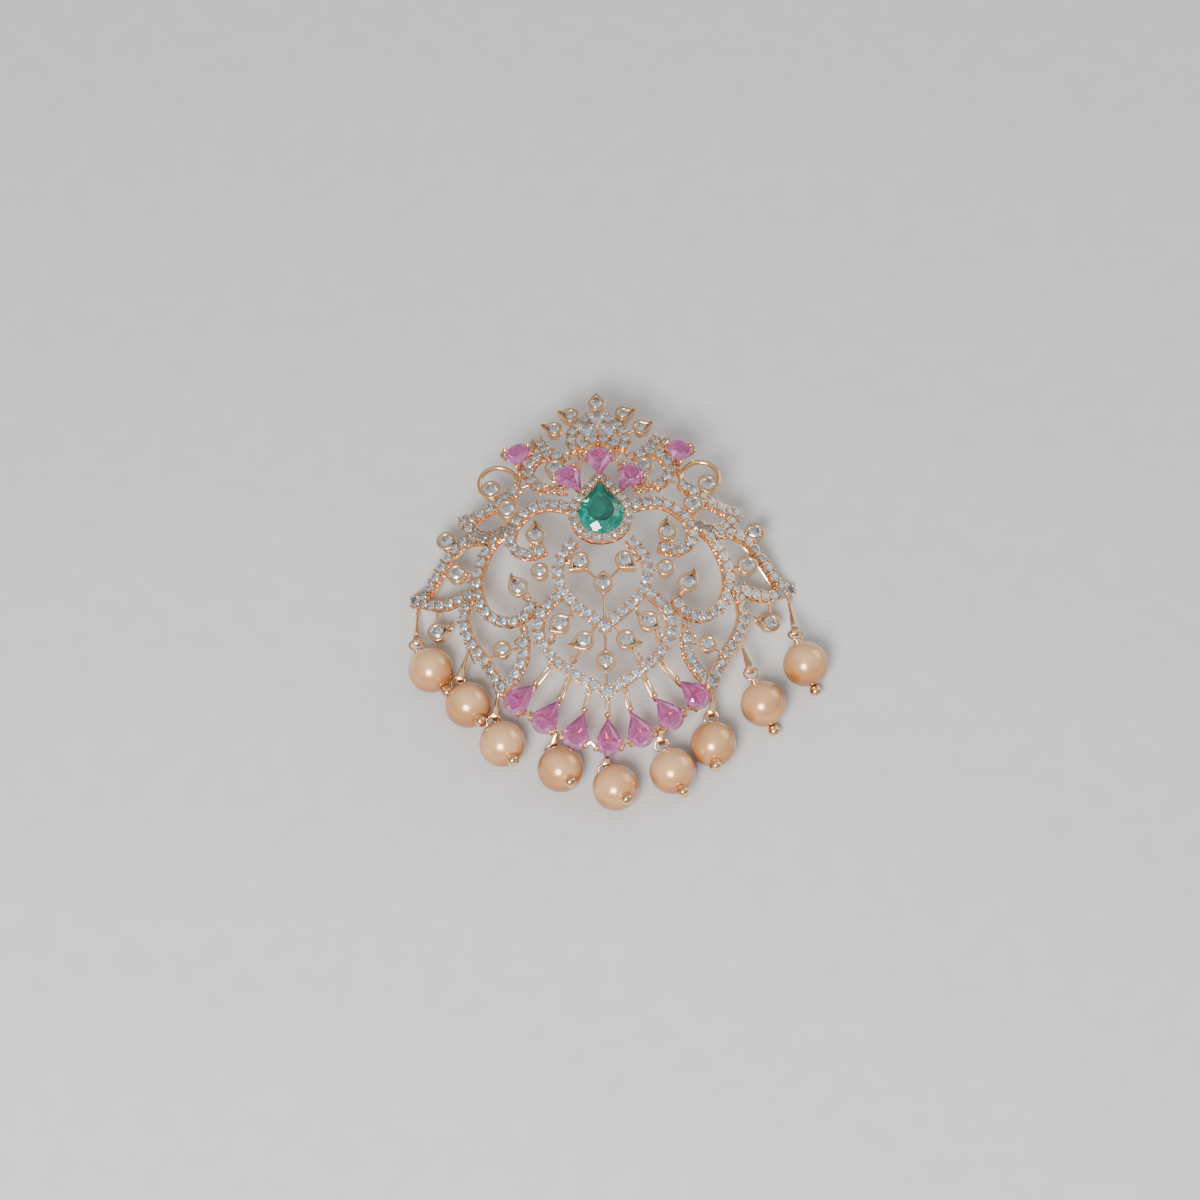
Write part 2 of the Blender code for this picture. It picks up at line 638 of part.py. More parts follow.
def join_all(name, shapes, collection, material):
    """One object from overlapping shapes, joined by a Boolean union."""
    first, *others = shapes
    helper = new_collection(f"{name}_shapes", hidden=True)
    for shape in others:
        for owner in list(shape.users_collection):
            owner.objects.unlink(shape)
        helper.objects.link(shape)
        shape.hide_render = True
        shape.display_type = "WIRE"
    modifier = first.modifiers.new("union", "BOOLEAN")
    modifier.operation = "UNION"
    modifier.operand_type = "COLLECTION"
    modifier.collection = helper
    graph = bpy.context.evaluated_depsgraph_get()
    data = bpy.data.meshes.new_from_object(first.evaluated_get(graph))
    made = bpy.data.objects.new(name, data)
    collection.objects.link(made)
    data.materials.clear()
    data.materials.append(material)
    for shape in shapes:
        bpy.data.objects.remove(shape)
    bpy.data.collections.remove(helper)
    return made


def build_pearls(floor, collection, nacre, gold, shapes):
    """Nine drilled pearls, and in each a pin with a ball at one end and an eye at the other."""
    for number, centre, ball, foot, away, _ in pearls(floor):
        mesh = bmesh.new()
        rings = [[mesh.verts.new(centre + point) for point in ring] for ring in pearl_rings(ball)]
        loft(mesh, rings, closed=True)
        object_from(mesh, f"pearl_{number + 1}", collection, nacre)
        front = centre + ball * (PEARL_DIAMETER / 2 + SEAT_GAP)
        thin, thick = PIN_WIRE / 2, PIN_BALL / 2
        shaft = build_wire("shaft", [foot, front + ball * thin], [thin * 1.3] * 2, WIRE_SIDES, shapes, gold)
        knob = build_wire("knob", [front, front + ball * thick, front + ball * thick * 1.8],
                          [thick * 0.7, thick, thick * 0.5], WIRE_SIDES, shapes, gold)
        middle = foot + away * (EYE_DIAMETER - PIN_WIRE) / 2
        eye = build_torus("eye", middle, side_of(away), away, (EYE_DIAMETER - PIN_WIRE) / 2, thin, EYE_SIDES,
                          WIRE_SIDES, shapes, gold)
        join_all(f"pearl_pin_{number + 1}", [eye, shaft, knob], collection, gold)


def stand_on_origin(collection):
    """Move everything so that the origin is under the middle of the pendant, on the surface."""
    bpy.context.view_layer.update()
    corners = [vertex.co for item in collection.objects for vertex in item.data.vertices]
    low = [min(corner[axis] for corner in corners) for axis in range(3)]
    high = [max(corner[axis] for corner in corners) for axis in range(3)]
    shift = Vector(((low[0] + high[0]) / 2, (low[1] + high[1]) / 2, low[2]))
    for item in collection.objects:
        for vertex in item.data.vertices:
            vertex.co -= shift


def main():
    clear_scene()
    pendant = new_collection("pendant")
    shapes = new_collection("shapes", hidden=True)
    gold, pink, green, nacre = (finish(*look) for look in (GOLD, PINK, GREEN, NACRE))
    parts = build_bands(shapes, gold)
    parts.append(build_halo(shapes, gold))
    for number, (x, y, diameter, tip, tail, heading) in enumerate(COLLETS):
        for sign in (1, -1) if x else (1,):
            centre = on_dome(sign * x, y, COLLET_LIFT)
            turned = heading if sign == 1 else 180 - heading
            parts.append(build_collet(f"collet_{number}_{sign}", centre, diameter, COLLET_DEPTH, tip, tail,
                                      turned, COLLET_RIM, shapes, gold))
    for number, (start, stop) in enumerate(WIRES + MIDDLE_WIRES):
        for sign in (1, -1) if start[0] or stop[0] else (1,):
            ends = [on_dome(sign * x, y, -BAND_DEPTH / 2) for x, y in (start, stop)]
            parts.append(build_wire(f"wire_{number}_{sign}", ends, [WIRE_DIAMETER / 2] * 2, 3, shapes,
                                    gold))
    parts += build_prongs(shapes, gold)
    parts += build_bars(shapes, gold)
    parts += build_loops(shapes, gold)
    floor = min(vertex.co.z for part in parts for vertex in part.data.vertices)
    parts += build_hooks(floor, shapes, gold)
    join_all("frame", parts, pendant, gold)
    for name, point, along, across, up, length, width in pinks():
        build_pear(name, point, along, across, up, length, width, pendant, pink)
    point = green_point()
    build_pear("emerald", point, Vector((0, -1, 0)), Vector((1, 0, 0)), Vector((0, 0, 1)), GREEN_LENGTH,
               GREEN_WIDTH, pendant, green)
    build_pearls(floor, pendant, nacre, gold, shapes)
    stand_on_origin(pendant)


main()
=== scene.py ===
"""Looks of an openwork pendant in rose gold, with small brilliants, coloured pears and a pearl fringe.

Every piece is modelled at its real size, in metres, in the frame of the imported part: X runs across the
pendant, Y from the pearls to the crown, Z up from the surface that it lies on. The tables of places hold
shares of the frame's half width and half height, as the part's own source does.
"""

import logging
import math
from collections.abc import Callable, Iterator
from contextlib import contextmanager
from dataclasses import dataclass, field
from enum import Enum

import bmesh
import bpy
from mathutils import Matrix, Vector


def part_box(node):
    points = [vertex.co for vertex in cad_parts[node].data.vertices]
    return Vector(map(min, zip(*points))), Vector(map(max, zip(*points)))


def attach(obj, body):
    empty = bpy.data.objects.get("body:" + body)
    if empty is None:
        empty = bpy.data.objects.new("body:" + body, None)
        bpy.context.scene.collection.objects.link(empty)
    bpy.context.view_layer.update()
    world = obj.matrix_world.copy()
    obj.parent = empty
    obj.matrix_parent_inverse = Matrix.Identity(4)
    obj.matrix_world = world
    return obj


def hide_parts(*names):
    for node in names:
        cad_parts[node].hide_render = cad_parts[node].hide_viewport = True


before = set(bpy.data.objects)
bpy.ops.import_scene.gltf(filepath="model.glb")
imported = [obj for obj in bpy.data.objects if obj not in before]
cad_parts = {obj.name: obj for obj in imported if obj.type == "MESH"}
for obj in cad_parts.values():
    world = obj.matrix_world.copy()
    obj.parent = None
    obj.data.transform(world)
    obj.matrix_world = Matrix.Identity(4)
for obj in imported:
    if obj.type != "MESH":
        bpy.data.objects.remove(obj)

logging.basicConfig(level=logging.INFO, format="%(message)s")
log = logging.getLogger("pendant")

# A face counts as level where its normal has more than this share of the upright direction
LEVEL = 0.9

# A cut-off prong, in radii of its ball: where its cap starts, how low the one face left may lie, its lip
CAP_START, CAP_FACE, CAP_LIP = 0.80, 0.75, 0.12

# Bands of one side, as shares of the half width and the half height, and their lift in band depths
BANDS: dict[str, tuple[float, list[tuple[float, float]]]] = {
    "crown_arch": (0.10, [(0.120, 0.842), (0.145, 0.889), (0.145, 0.942), (0.127, 0.988),
                          (0.098, 1.030), (0.043, 1.073)]),
    "inner_arch": (0.20, [(0.100, 0.850), (0.069, 0.892), (0.037, 0.909), (0.000, 0.914)]),
    "upper_scroll": (0.00, [(0.202, 0.796), (0.251, 0.836), (0.310, 0.835), (0.354, 0.804),
                            (0.375, 0.755), (0.374, 0.700), (0.350, 0.658), (0.300, 0.608)]),
    "upper_branch": (-0.10, [(0.272, 0.850), (0.294, 0.900), (0.325, 0.940)]),
    "shoulder_top": (0.00, [(0.432, 0.645), (0.490, 0.603), (0.534, 0.584), (0.571, 0.551),
                            (0.659, 0.520), (0.705, 0.510)]),
    "shoulder_back": (0.10, [(0.712, 0.480), (0.665, 0.420), (0.616, 0.380), (0.541, 0.371),
                             (0.480, 0.392)]),
    "inner_scroll": (0.00, [(0.165, 0.470), (0.242, 0.501), (0.293, 0.506), (0.348, 0.501),
                            (0.394, 0.473), (0.435, 0.441), (0.471, 0.397), (0.481, 0.336),
                            (0.473, 0.284), (0.428, 0.237), (0.368, 0.220), (0.301, 0.241)]),
    "side_scroll": (-0.08, [(0.510, 0.395), (0.575, 0.340), (0.607, 0.302), (0.627, 0.255),
                            (0.646, 0.207), (0.659, 0.148), (0.659, 0.086), (0.653, 0.028),
                            (0.630, -0.029), (0.595, -0.080), (0.543, -0.117), (0.490, -0.136),
                            (0.434, -0.126), (0.391, -0.095), (0.377, -0.046)]),
    "wing_top": (0.08, [(0.600, 0.362), (0.661, 0.380), (0.701, 0.389), (0.744, 0.377),
                        (0.782, 0.351), (0.822, 0.310), (0.852, 0.269), (0.884, 0.228),
                        (0.911, 0.185), (0.943, 0.155), (0.965, 0.150)]),
    "wing_foot": (0.00, [(0.965, 0.125), (0.917, 0.095), (0.878, 0.068), (0.836, 0.060),
                         (0.790, 0.056), (0.745, 0.067), (0.680, 0.070)]),
    "upper_heart": (0.10, [(0.145, 0.262), (0.197, 0.209), (0.225, 0.161), (0.235, 0.105),
                           (0.227, 0.042), (0.206, -0.019), (0.170, -0.068), (0.131, -0.108),
                           (0.086, -0.141), (0.030, -0.196)]),
    "lower_heart": (0.02, [(0.225, -0.020), (0.274, -0.057), (0.312, -0.094), (0.339, -0.139),
                           (0.346, -0.199), (0.338, -0.256), (0.305, -0.310), (0.271, -0.359),
                           (0.231, -0.397), (0.185, -0.434), (0.138, -0.465), (0.090, -0.494),
                           (0.030, -0.527)]),
    "point_outer": (0.04, [(0.712, 0.040), (0.726, -0.010), (0.734, -0.064), (0.724, -0.126),
                           (0.700, -0.189), (0.668, -0.245), (0.633, -0.298), (0.605, -0.352),
                           (0.575, -0.408), (0.562, -0.438)]),
    "point_inner": (0.12, [(0.526, -0.460), (0.495, -0.440), (0.463, -0.402), (0.433, -0.355),
                           (0.422, -0.302), (0.421, -0.235)]),
}

# Single stones where bands meet in a point: x, y, diameter in stone diameters; the middle ones stand once
JOINT_SEATS: list[tuple[float, float, float]] = [
    (0.000, -0.219, 1.25), (0.000, -0.548, 1.25), (0.545, -0.465, 1.25), (0.722, 0.508, 1.15),
    (0.985, 0.142, 1.30), (0.359, 0.905, 0.80),
]

# The three larger drops of the crown: x, y, heading of the point in degrees
CROWN_DROPS: list[tuple[float, float, float]] = [(0.000, 1.045, -90), (0.060, 0.966, -90)]

# Wires of one side between two places, through the metal at both ends
WIRES: list[tuple[tuple[float, float], tuple[float, float]]] = [
    ((0.139, 1.090), (0.110, 1.020)), ((0.230, 0.997), (0.140, 0.960)),
    ((0.232, 0.724), (0.270, 0.830)), ((0.232, 0.724), (0.120, 0.842)),
    ((0.345, 0.322), (0.368, 0.220)), ((0.327, 0.110), (0.235, 0.105)),
    ((0.441, 0.040), (0.377, -0.046)), ((0.764, 0.206), (0.852, 0.269)),
    ((0.764, 0.206), (0.659, 0.148)), ((0.874, -0.082), (0.868, 0.066)),
    ((0.114, 0.143), (0.225, 0.161)), ((0.114, 0.143), (0.000, 0.014)),
    ((0.228, -0.188), (0.150, -0.095)), ((0.228, -0.188), (0.305, -0.300)),
    ((0.107, -0.287), (0.045, -0.196)), ((0.107, -0.287), (0.200, -0.425)),
    ((0.531, -0.275), (0.430, -0.270)), ((0.531, -0.275), (0.640, -0.300)),
    ((0.421, -0.245), (0.434, -0.126)), ((0.377, -0.090), (0.339, -0.139)),
    ((0.490, 0.509), (0.435, 0.441)), ((0.575, 0.657), (0.571, 0.551)),
    ((0.305, 0.612), (0.170, 0.560)), ((0.726, 0.020), (0.655, 0.020)),
    ((0.350, 0.658), (0.432, 0.645)), ((0.060, 0.966), (0.127, 0.988)),
    ((0.359, 0.905), (0.310, 0.918)), ((0.325, 0.633), (0.165, 0.601)),
    ((0.120, 0.842), (0.095, 0.770)), ((0.098, 0.850), (0.072, 0.780)),
]

# Wires on the axis
MIDDLE_WIRES: list[tuple[tuple[float, float], tuple[float, float]]] = [
    ((0.000, 0.014), (0.000, -0.219)), ((0.000, -0.219), (0.000, -0.395)),
    ((0.000, -0.395), (0.000, -0.548)), ((0.000, 0.914), (0.000, 1.165)),
    ((0.000, 0.914), (0.000, 0.640)),
]

# Curls of fine wire between leaves and bands, of one side: x, y, diameter, heading of the gap in degrees
CURLS: list[tuple[float, float, float, float]] = [
    (0.175, 0.166, 0.00075, 200), (0.180, -0.140, 0.00070, 60), (0.275, -0.262, 0.00080, 140),
    (0.165, -0.372, 0.00080, 140), (0.395, -0.015, 0.00090, 60), (0.700, 0.165, 0.00100, 330),
    (0.800, -0.075, 0.00090, 100), (0.600, -0.330, 0.00090, 60), (0.447, -0.245, 0.00070, 180),
    (0.415, -0.175, 0.00080, 90), (0.412, -0.200, 0.00070, 270), (0.352, 0.262, 0.00080, 250),
    (0.205, 0.575, 0.00090, 20), (0.240, 0.585, 0.00090, 200), (0.275, 0.598, 0.00090, 20),
    (0.690, 0.045, 0.00110, 90), (0.660, 0.055, 0.00090, 0), (0.520, 0.575, 0.00090, 300),
    (0.165, 0.800, 0.00090, 30), (0.190, 0.770, 0.00080, 210),
]

# Loose ends of wire that stand out beside the V points and the green stone: from and to
PINS: list[tuple[tuple[float, float], tuple[float, float]]] = [
    ((0.716, -0.205), (0.676, -0.318)), ((0.036, 0.560), (0.040, 0.640)),
]

# Grains of gold on joints and wires: x, y, diameter
GRAINS: list[tuple[float, float, float]] = [
    (0.190, 0.568, 0.00045), (0.215, 0.577, 0.00045), (0.250, 0.590, 0.00045), (0.190, 0.606, 0.00045),
    (0.225, 0.613, 0.00045), (0.260, 0.620, 0.00045), (0.290, 0.626, 0.00045), (0.095, 0.770, 0.00055),
    (0.072, 0.780, 0.00050), (0.700, 0.020, 0.00055), (0.680, 0.020, 0.00050), (0.424, -0.215, 0.00050),
    (0.562, -0.470, 0.00055), (0.545, -0.492, 0.00050), (0.728, 0.530, 0.00045), (0.345, 0.955, 0.00050),
    (0.305, 0.955, 0.00045), (0.127, 1.060, 0.00045), (0.000, 1.100, 0.00045), (0.000, -0.575, 0.00060),
    (1.008, 0.132, 0.00050), (0.435, 0.655, 0.00050), (0.396, 0.715, 0.00050), (0.270, -0.075, 0.00045),
    (0.415, -0.130, 0.00045),
]


class Slot(Enum):
    """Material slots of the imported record."""

    GOLD = "gold"
    GREEN = "green_stone"
    PINK = "pink_stone"
    NACRE = "nacre"


class Side(Enum):
    """The halves of the pendant, as the sign of X."""

    RIGHT = 1
    LEFT = -1

    @property
    def word(self) -> str:
        """The side's name in small letters."""
        return self.name.lower()


def sides_of(share_x: float) -> list[Side]:
    """Both sides for a place beside the axis, and one for a place on it.

    Args:
        share_x: The place's distance from the axis.

    Returns:
        The sides on which the place stands.
    """
    return [Side.RIGHT, Side.LEFT] if share_x else [Side.RIGHT]


# ---------------------------------------------------------------------------------------------------------
# Places
# ---------------------------------------------------------------------------------------------------------


@dataclass(frozen=True)
class Dome:
    """The domed upper face of the frame, on which every place is a share of its half width and height."""

    half_width: float = 0.0220
    half_height: float = 0.0220
    top: float = 0.0098
    radius_across: float = 0.0320
    radius_along: float = 0.0600
    top_y: float = 0.364
    widest: float = 0.9
    origin: Vector = field(default_factory=Vector)

    def height(self, x: float, y: float) -> float:
        """Height of the frame's upper face.

        Args:
            x: Distance from the frame's axis.
            y: Distance from the frame's middle.

        Returns:
            The height above the surface that the pendant lies on.
        """
        reach = min(abs(x), self.widest * self.radius_across)
        across = self.radius_across - math.sqrt(self.radius_across**2 - reach**2)
        along = y - self.top_y * self.half_height
        return self.top - across - (self.radius_along - math.sqrt(self.radius_along**2 - along**2))

    def place(self, share_x: float, share_y: float, lift: float = 0.0) -> Vector:
        """The point of the dome at two shares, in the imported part's frame."""
        x, y = share_x * self.half_width, share_y * self.half_height
        return Vector((x, y, self.height(x, y) + lift)) + self.origin

    def up(self, point: Vector) -> Vector:
        """The dome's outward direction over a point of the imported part's frame."""
        x, y = point.x - self.origin.x, point.y - self.origin.y
        step = self.half_width / 60
        slope_x = (self.height(x + step, y) - self.height(x - step, y)) / (2 * step)
        slope_y = (self.height(x, y + step) - self.height(x, y - step)) / (2 * step)
        return Vector((-slope_x, -slope_y, 1)).normalized()

    def stand(self, point: Vector, heading: float, lean: float = 1.0) -> Matrix:
        """The place and turn of a piece on the dome.

        Args:
            point: Where it stands.
            heading: Direction of its own X in degrees from the pendant's X.
            lean: How far its Z goes from upright to the dome's own direction.

        Returns:
            A matrix whose Z leaves the dome.
        """
        turn = math.radians(heading)
        up = Vector((0, 0, 1)).lerp(self.up(point), lean)
        return stand(point, Vector((math.cos(turn), math.sin(turn), 0)), up)


def stand(point: Vector, along: Vector, up: Vector) -> Matrix:
    """A place with X as near as can be to one direction and Z along another.

    Args:
        point: The place.
        along: Direction that X comes nearest to.
        up: Direction of Z.

    Returns:
        The matrix of that place.
    """
    z = up.normalized()
    x = (along - along.dot(z) * z).normalized()
    return Matrix.Translation(point) @ Matrix((x, z.cross(x), z)).transposed().to_4x4()


def smooth_path(points: list[Vector], spacing: float) -> list[Vector]:
    """Evenly spaced points on a smooth curve.

    Args:
        points: The points that the curve runs through.
        spacing: About how far apart the new points are.

    Returns:
        The new points.
    """
    ends = [2 * points[0] - points[1], *points, 2 * points[-1] - points[-2]]
    fine: list[Vector] = []
    for before, start, stop, after in zip(ends, ends[1:], ends[2:], ends[3:]):
        for step in range(12):
            t = step / 12
            fine.append(0.5 * (2 * start + (stop - before) * t
                               + (2 * before - 5 * start + 4 * stop - after) * t**2
                               + (3 * start - before - 3 * stop + after) * t**3))
    fine.append(points[-1])
    run = [0.0]
    for start, stop in zip(fine, fine[1:]):
        run.append(run[-1] + (stop - start).length)
    count = max(2, round(run[-1] / spacing))
    path, place = [], 0
    for step in range(count + 1):
        target = run[-1] * step / count
        while place < len(fine) - 2 and run[place + 1] < target:
            place += 1
        share = (target - run[place]) / (run[place + 1] - run[place])
        path.append(fine[place].lerp(fine[place + 1], min(share, 1.0)))
    return path


@dataclass(frozen=True)
class Drop:
    """An outline that is round, or drawn out to a point at its tip and tail, in radii of its round part."""

    tip: float = 1.0
    tail: float = 1.0
    curl: float = 0.0

    def shape(self, x: float, y: float) -> tuple[float, float]:
        """Where a point of the round outline comes to lie.

        Args:
            x: The point's place along the outline's axis.
            y: The point's place across it.

        Returns:
            The new place along and across.
        """
        angle = abs(math.atan2(y, x))
        if angle < math.pi / 2:
            point, away = self.tip, angle
        else:
            point, away = self.tail, math.pi - angle
        touch = math.acos(min(1.0, 1 / max(point, 1.0)))
        grow = 1 / math.cos(touch - away) if away < touch else 1.0
        x, y = x * grow, y * grow
        return x, y + self.curl * max(0.0, x - 0.55) ** 2


# ---------------------------------------------------------------------------------------------------------
# Hand tools
# ---------------------------------------------------------------------------------------------------------


class Bench:
    """The hand tools: primitives, selections by place, modifiers, copies and joins."""

    @staticmethod
    def clear() -> None:
        """Leave edit mode and deselect everything."""
        if bpy.context.object and bpy.context.object.mode != "OBJECT":
            bpy.ops.object.mode_set(mode="OBJECT")
        bpy.ops.object.select_all(action="DESELECT")

    @staticmethod
    def hold(piece: bpy.types.Object) -> None:
        """Select one piece alone and make it the active one."""
        Bench.clear()
        piece.select_set(True)
        bpy.context.view_layer.objects.active = piece

    @staticmethod
    def new(add: Callable, **sizes: object) -> bpy.types.Object:
        """Add a primitive.

        Args:
            add: The operator that adds it.
            sizes: What the operator is told.

        Returns:
            The new object.
        """
        Bench.clear()
        add(**sizes)
        return bpy.context.object

    @staticmethod
    @contextmanager
    def editing(piece: bpy.types.Object, kind: str = "FACE") -> Iterator[None]:
        """Edit a piece with nothing selected.

        Args:
            piece: The piece.
            kind: What is selected: VERT, EDGE or FACE.

        Yields:
            Nothing.
        """
        Bench.hold(piece)
        bpy.ops.object.mode_set(mode="EDIT")
        bpy.ops.mesh.select_mode(type=kind)
        bpy.ops.mesh.select_all(action="DESELECT")
        yield
        bpy.ops.object.mode_set(mode="OBJECT")

    @staticmethod
    def pick(piece: bpy.types.Object, test: Callable[[Vector, Vector], bool]) -> None:
        """Select faces in edit mode by their place or normal.

        Args:
            piece: The piece in edit mode.
            test: Says of a face's middle and normal whether it is selected.
        """
        shape = bmesh.from_edit_mesh(piece.data)
        for face in shape.faces:
            face.select_set(bool(test(face.calc_center_median(), face.normal)))
        bmesh.update_edit_mesh(piece.data)

    @staticmethod
    def push(*way: float) -> None:
        """Extrude the selection and move it."""
        bpy.ops.mesh.extrude_region_move(TRANSFORM_OT_translate={"value": way})

    @staticmethod
    def modify(piece: bpy.types.Object, kind: str, **settings: object) -> None:
        """Add a modifier and apply it.

        Args:
            piece: The piece.
            kind: The modifier's type.
            settings: Its settings.
        """
        Bench.hold(piece)
        made = piece.modifiers.new(kind.lower(), kind)
        for setting, value in settings.items():
            setattr(made, setting, value)
        bpy.ops.object.modifier_apply(modifier=made.name)

    @staticmethod
    def settle(piece: bpy.types.Object) -> None:
        """Put a piece's place, turn and scale into its mesh."""
        Bench.hold(piece)
        bpy.ops.object.transform_apply(location=True, rotation=True, scale=True)

    @staticmethod
    def mould(piece: bpy.types.Object, shape: Callable[[Vector], Vector]) -> None:
        """Move every point of a mesh.

        Args:
            piece: The piece.
            shape: Gives a point's new place.
        """
        for vertex in piece.data.vertices:
            vertex.co = shape(vertex.co)

    @staticmethod
    def join(name: str, pieces: list[bpy.types.Object]) -> bpy.types.Object:
        """One object from several.

        Args:
            name: Its name.
            pieces: The objects, each with its place in its mesh.

        Returns:
            The joined object.
        """
        Bench.clear()
        for piece in pieces:
            piece.select_set(True)
        bpy.context.view_layer.objects.active = pieces[0]
        if len(pieces) > 1:
            bpy.ops.object.join()
        made = bpy.context.view_layer.objects.active
        made.name = made.data.name = name
        return made

    @staticmethod
    def copies(name: str, master: bpy.types.Object, places: list[Matrix]) -> bpy.types.Object:
        """Copies of a piece, each with its own mesh, joined to one object.

        Args:
            name: The object's name.
            master: The piece, which is removed.
            places: Where the copies stand.

        Returns:
            The joined object.
        """
        made = []
        for place in places:
            one = master.copy()
            one.data = master.data.copy()
            one.data.transform(place)
            bpy.context.scene.collection.objects.link(one)
            made.append(one)
        bpy.data.objects.remove(master)
        return Bench.join(name, made)

    @staticmethod
    def wire(points: list[Vector], radii: list[float], sides: int = 8,
             closed: bool = False) -> bpy.types.Object:
        """A round wire through points.

        Args:
            points: The middle of the wire.
            radii: How thick it is at each point.
            sides: Sides of its section.
            closed: Whether it runs back to its start.

        Returns:
            The wire as a mesh.
        """
        made = Bench.new(bpy.ops.curve.primitive_nurbs_path_add)
        curve = made.data
        curve.splines.clear()
        line = curve.splines.new("POLY")
        line.points.add(len(points) - 1)
        for spot, point, radius in zip(line.points, points, radii):
            spot.co, spot.radius = (*point, 1.0), radius
        line.use_cyclic_u = closed
        curve.dimensions = "3D"
        curve.bevel_depth = 1.0
        curve.bevel_resolution = (sides - 4) // 2
        curve.use_fill_caps = not closed
        bpy.ops.object.convert(target="MESH")
        return bpy.context.object

    @staticmethod
    def close(piece: bpy.types.Object, angle: float = 40.0) -> None:
        """Merge doubled points, turn the faces outwards and shade the piece.

        Args:
            piece: The piece.
            angle: Edges sharper than this many degrees stay sharp.
        """
        with Bench.editing(piece, "VERT"):
            bpy.ops.mesh.select_all(action="SELECT")
            bpy.ops.mesh.remove_doubles(threshold=1e-6)
            bpy.ops.mesh.normals_make_consistent(inside=False)
        Bench.hold(piece)
        if angle:
            bpy.ops.object.shade_smooth_by_angle(angle=math.radians(angle))
        else:
            bpy.ops.object.shade_flat()

    @staticmethod
    def hand_over(piece: bpy.types.Object, material: bpy.types.Material, nodes: list[str],
                  slot: Slot | None) -> bpy.types.Object:
        """Dress a finished piece and let it stand for CAD nodes.

        Args:
            piece: The piece.
            material: Its finish.
            nodes: The CAD nodes that it replaces.
            slot: The record's slot that its finish comes from, if any; not used.

        Returns:
            The piece.
        """
        piece.data.materials.clear()
        piece.data.materials.append(material)
        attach(piece, "root")
        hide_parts(*nodes)
        piece.data.calc_loop_triangles()
        log.info("%s: %d triangles", piece.name, len(piece.data.loop_triangles))
        return piece


def ball(radius: float, segments: int = 10, rings: int = 6, dimple: float = 0.0) -> bpy.types.Object:
    """A small ball of gold, with a dimple on top if it is a cut-off prong.

    Args:
        radius: The ball's radius.
        segments: Faces round it.
        rings: Faces from pole to pole.
        dimple: Depth of the dimple.

    Returns:
        The ball, its middle at the origin.
    """
    made = Bench.new(bpy.ops.mesh.primitive_uv_sphere_add, segments=segments, ring_count=rings,
                     radius=radius)
    if dimple:
        with Bench.editing(made):
            Bench.pick(made, lambda middle, normal: middle.z > radius * CAP_START)
            bpy.ops.mesh.dissolve_faces()
            Bench.pick(made, lambda middle, normal: middle.z > radius * CAP_FACE)
            bpy.ops.mesh.inset(thickness=radius * CAP_LIP)
            Bench.push(0, 0, -dimple)
    return made


@dataclass(frozen=True)
class Cut:
    """Proportions of a cut stone, in radii of its round part, and the painted light and shade of its facets.
    """

    sides: int = 16
    crown: float = 0.30
    table: float = 0.60
    shoulder: float = 0.83
    shoulder_height: float = 0.55
    girdle: float = 0.05
    pavilion: float = 0.80
    waist: float = 0.0
    waist_depth: float = 0.58
    culet: float = 0.05
    merge_angle: float = 1.5
    # Facet tones are places on a stone's colour ramp and paint its light: one low tone on the table as
    # painted reflection, crown facets lighter where they face -X and darker where they face +X as painted
    # light from that side, and a random share as painted glints
    table_painted_tone: float = 0.06
    table_level: float = 0.98
    crown_painted_tone: float = 0.60
    crown_painted_side_light: float = 0.28
    crown_painted_glints: float = 0.34
    play_start: float = 0.15
    play_step: float = 0.618034

    def stone(self, radius: float, outline: Drop = Drop()) -> bpy.types.Object:
        """Cut a stone: rings of points closed to a hull, whose flat parts are its facets.

        Args:
            radius: Radius of the stone's round part.
            outline: Its outline.

        Returns:
            The stone, its girdle in the plane of X and Y, with a painted tone of light or shade for each
            facet.
        """
        step = 2 * math.pi / self.sides
        half = self.sides // 2
        rings = [(self.sides, 1.0, 0.0, 0.0),
                 (half, self.shoulder, self.crown * self.shoulder_height, step),
                 (half, self.table, self.crown, 0.0),
                 (half, self.culet, -self.pavilion, 0.0)]
        if self.girdle:
            rings.append((self.sides, 1.0, -self.girdle, 0.0))
        if self.waist:
            rings.append((half, self.waist, -self.pavilion * self.waist_depth, step))
        made = Bench.new(bpy.ops.mesh.primitive_circle_add, vertices=self.sides, radius=1.0)
        with Bench.editing(made, "VERT"):
            for count, reach, height, turn in rings[1:]:
                bpy.ops.mesh.primitive_circle_add(vertices=count, radius=reach, location=(0, 0, height),
                                                  rotation=(0, 0, turn))
        Bench.mould(made, lambda p: Vector((*outline.shape(p.x, p.y), p.z)) * radius)
        with Bench.editing(made, "VERT"):
            bpy.ops.mesh.select_all(action="SELECT")
            bpy.ops.mesh.convex_hull(join_triangles=False)
            bpy.ops.mesh.select_all(action="SELECT")
            bpy.ops.mesh.dissolve_limited(angle_limit=math.radians(self.merge_angle))
            bpy.ops.mesh.normals_make_consistent(inside=False)
        tones = made.data.attributes.new("facet", "FLOAT", "FACE")
        for place, face in enumerate(made.data.polygons):
            play = (self.play_start + self.play_step * place) % 1.0
            flat = math.hypot(face.normal.x, face.normal.y)
            # Painted reflection on the table, painted side light on the crown facets, painted glints at
            # random on the rest
            if face.normal.z > self.table_level:
                tone = self.table_painted_tone
            elif face.normal.z > 0:
                tone = (self.crown_painted_tone - self.crown_painted_side_light * face.normal.x / flat
                        + self.crown_painted_glints * (play - 0.5))
            else:
                tone = play
            tones.data[place].value = tone
        return made


# ---------------------------------------------------------------------------------------------------------
# Finishes
# ---------------------------------------------------------------------------------------------------------


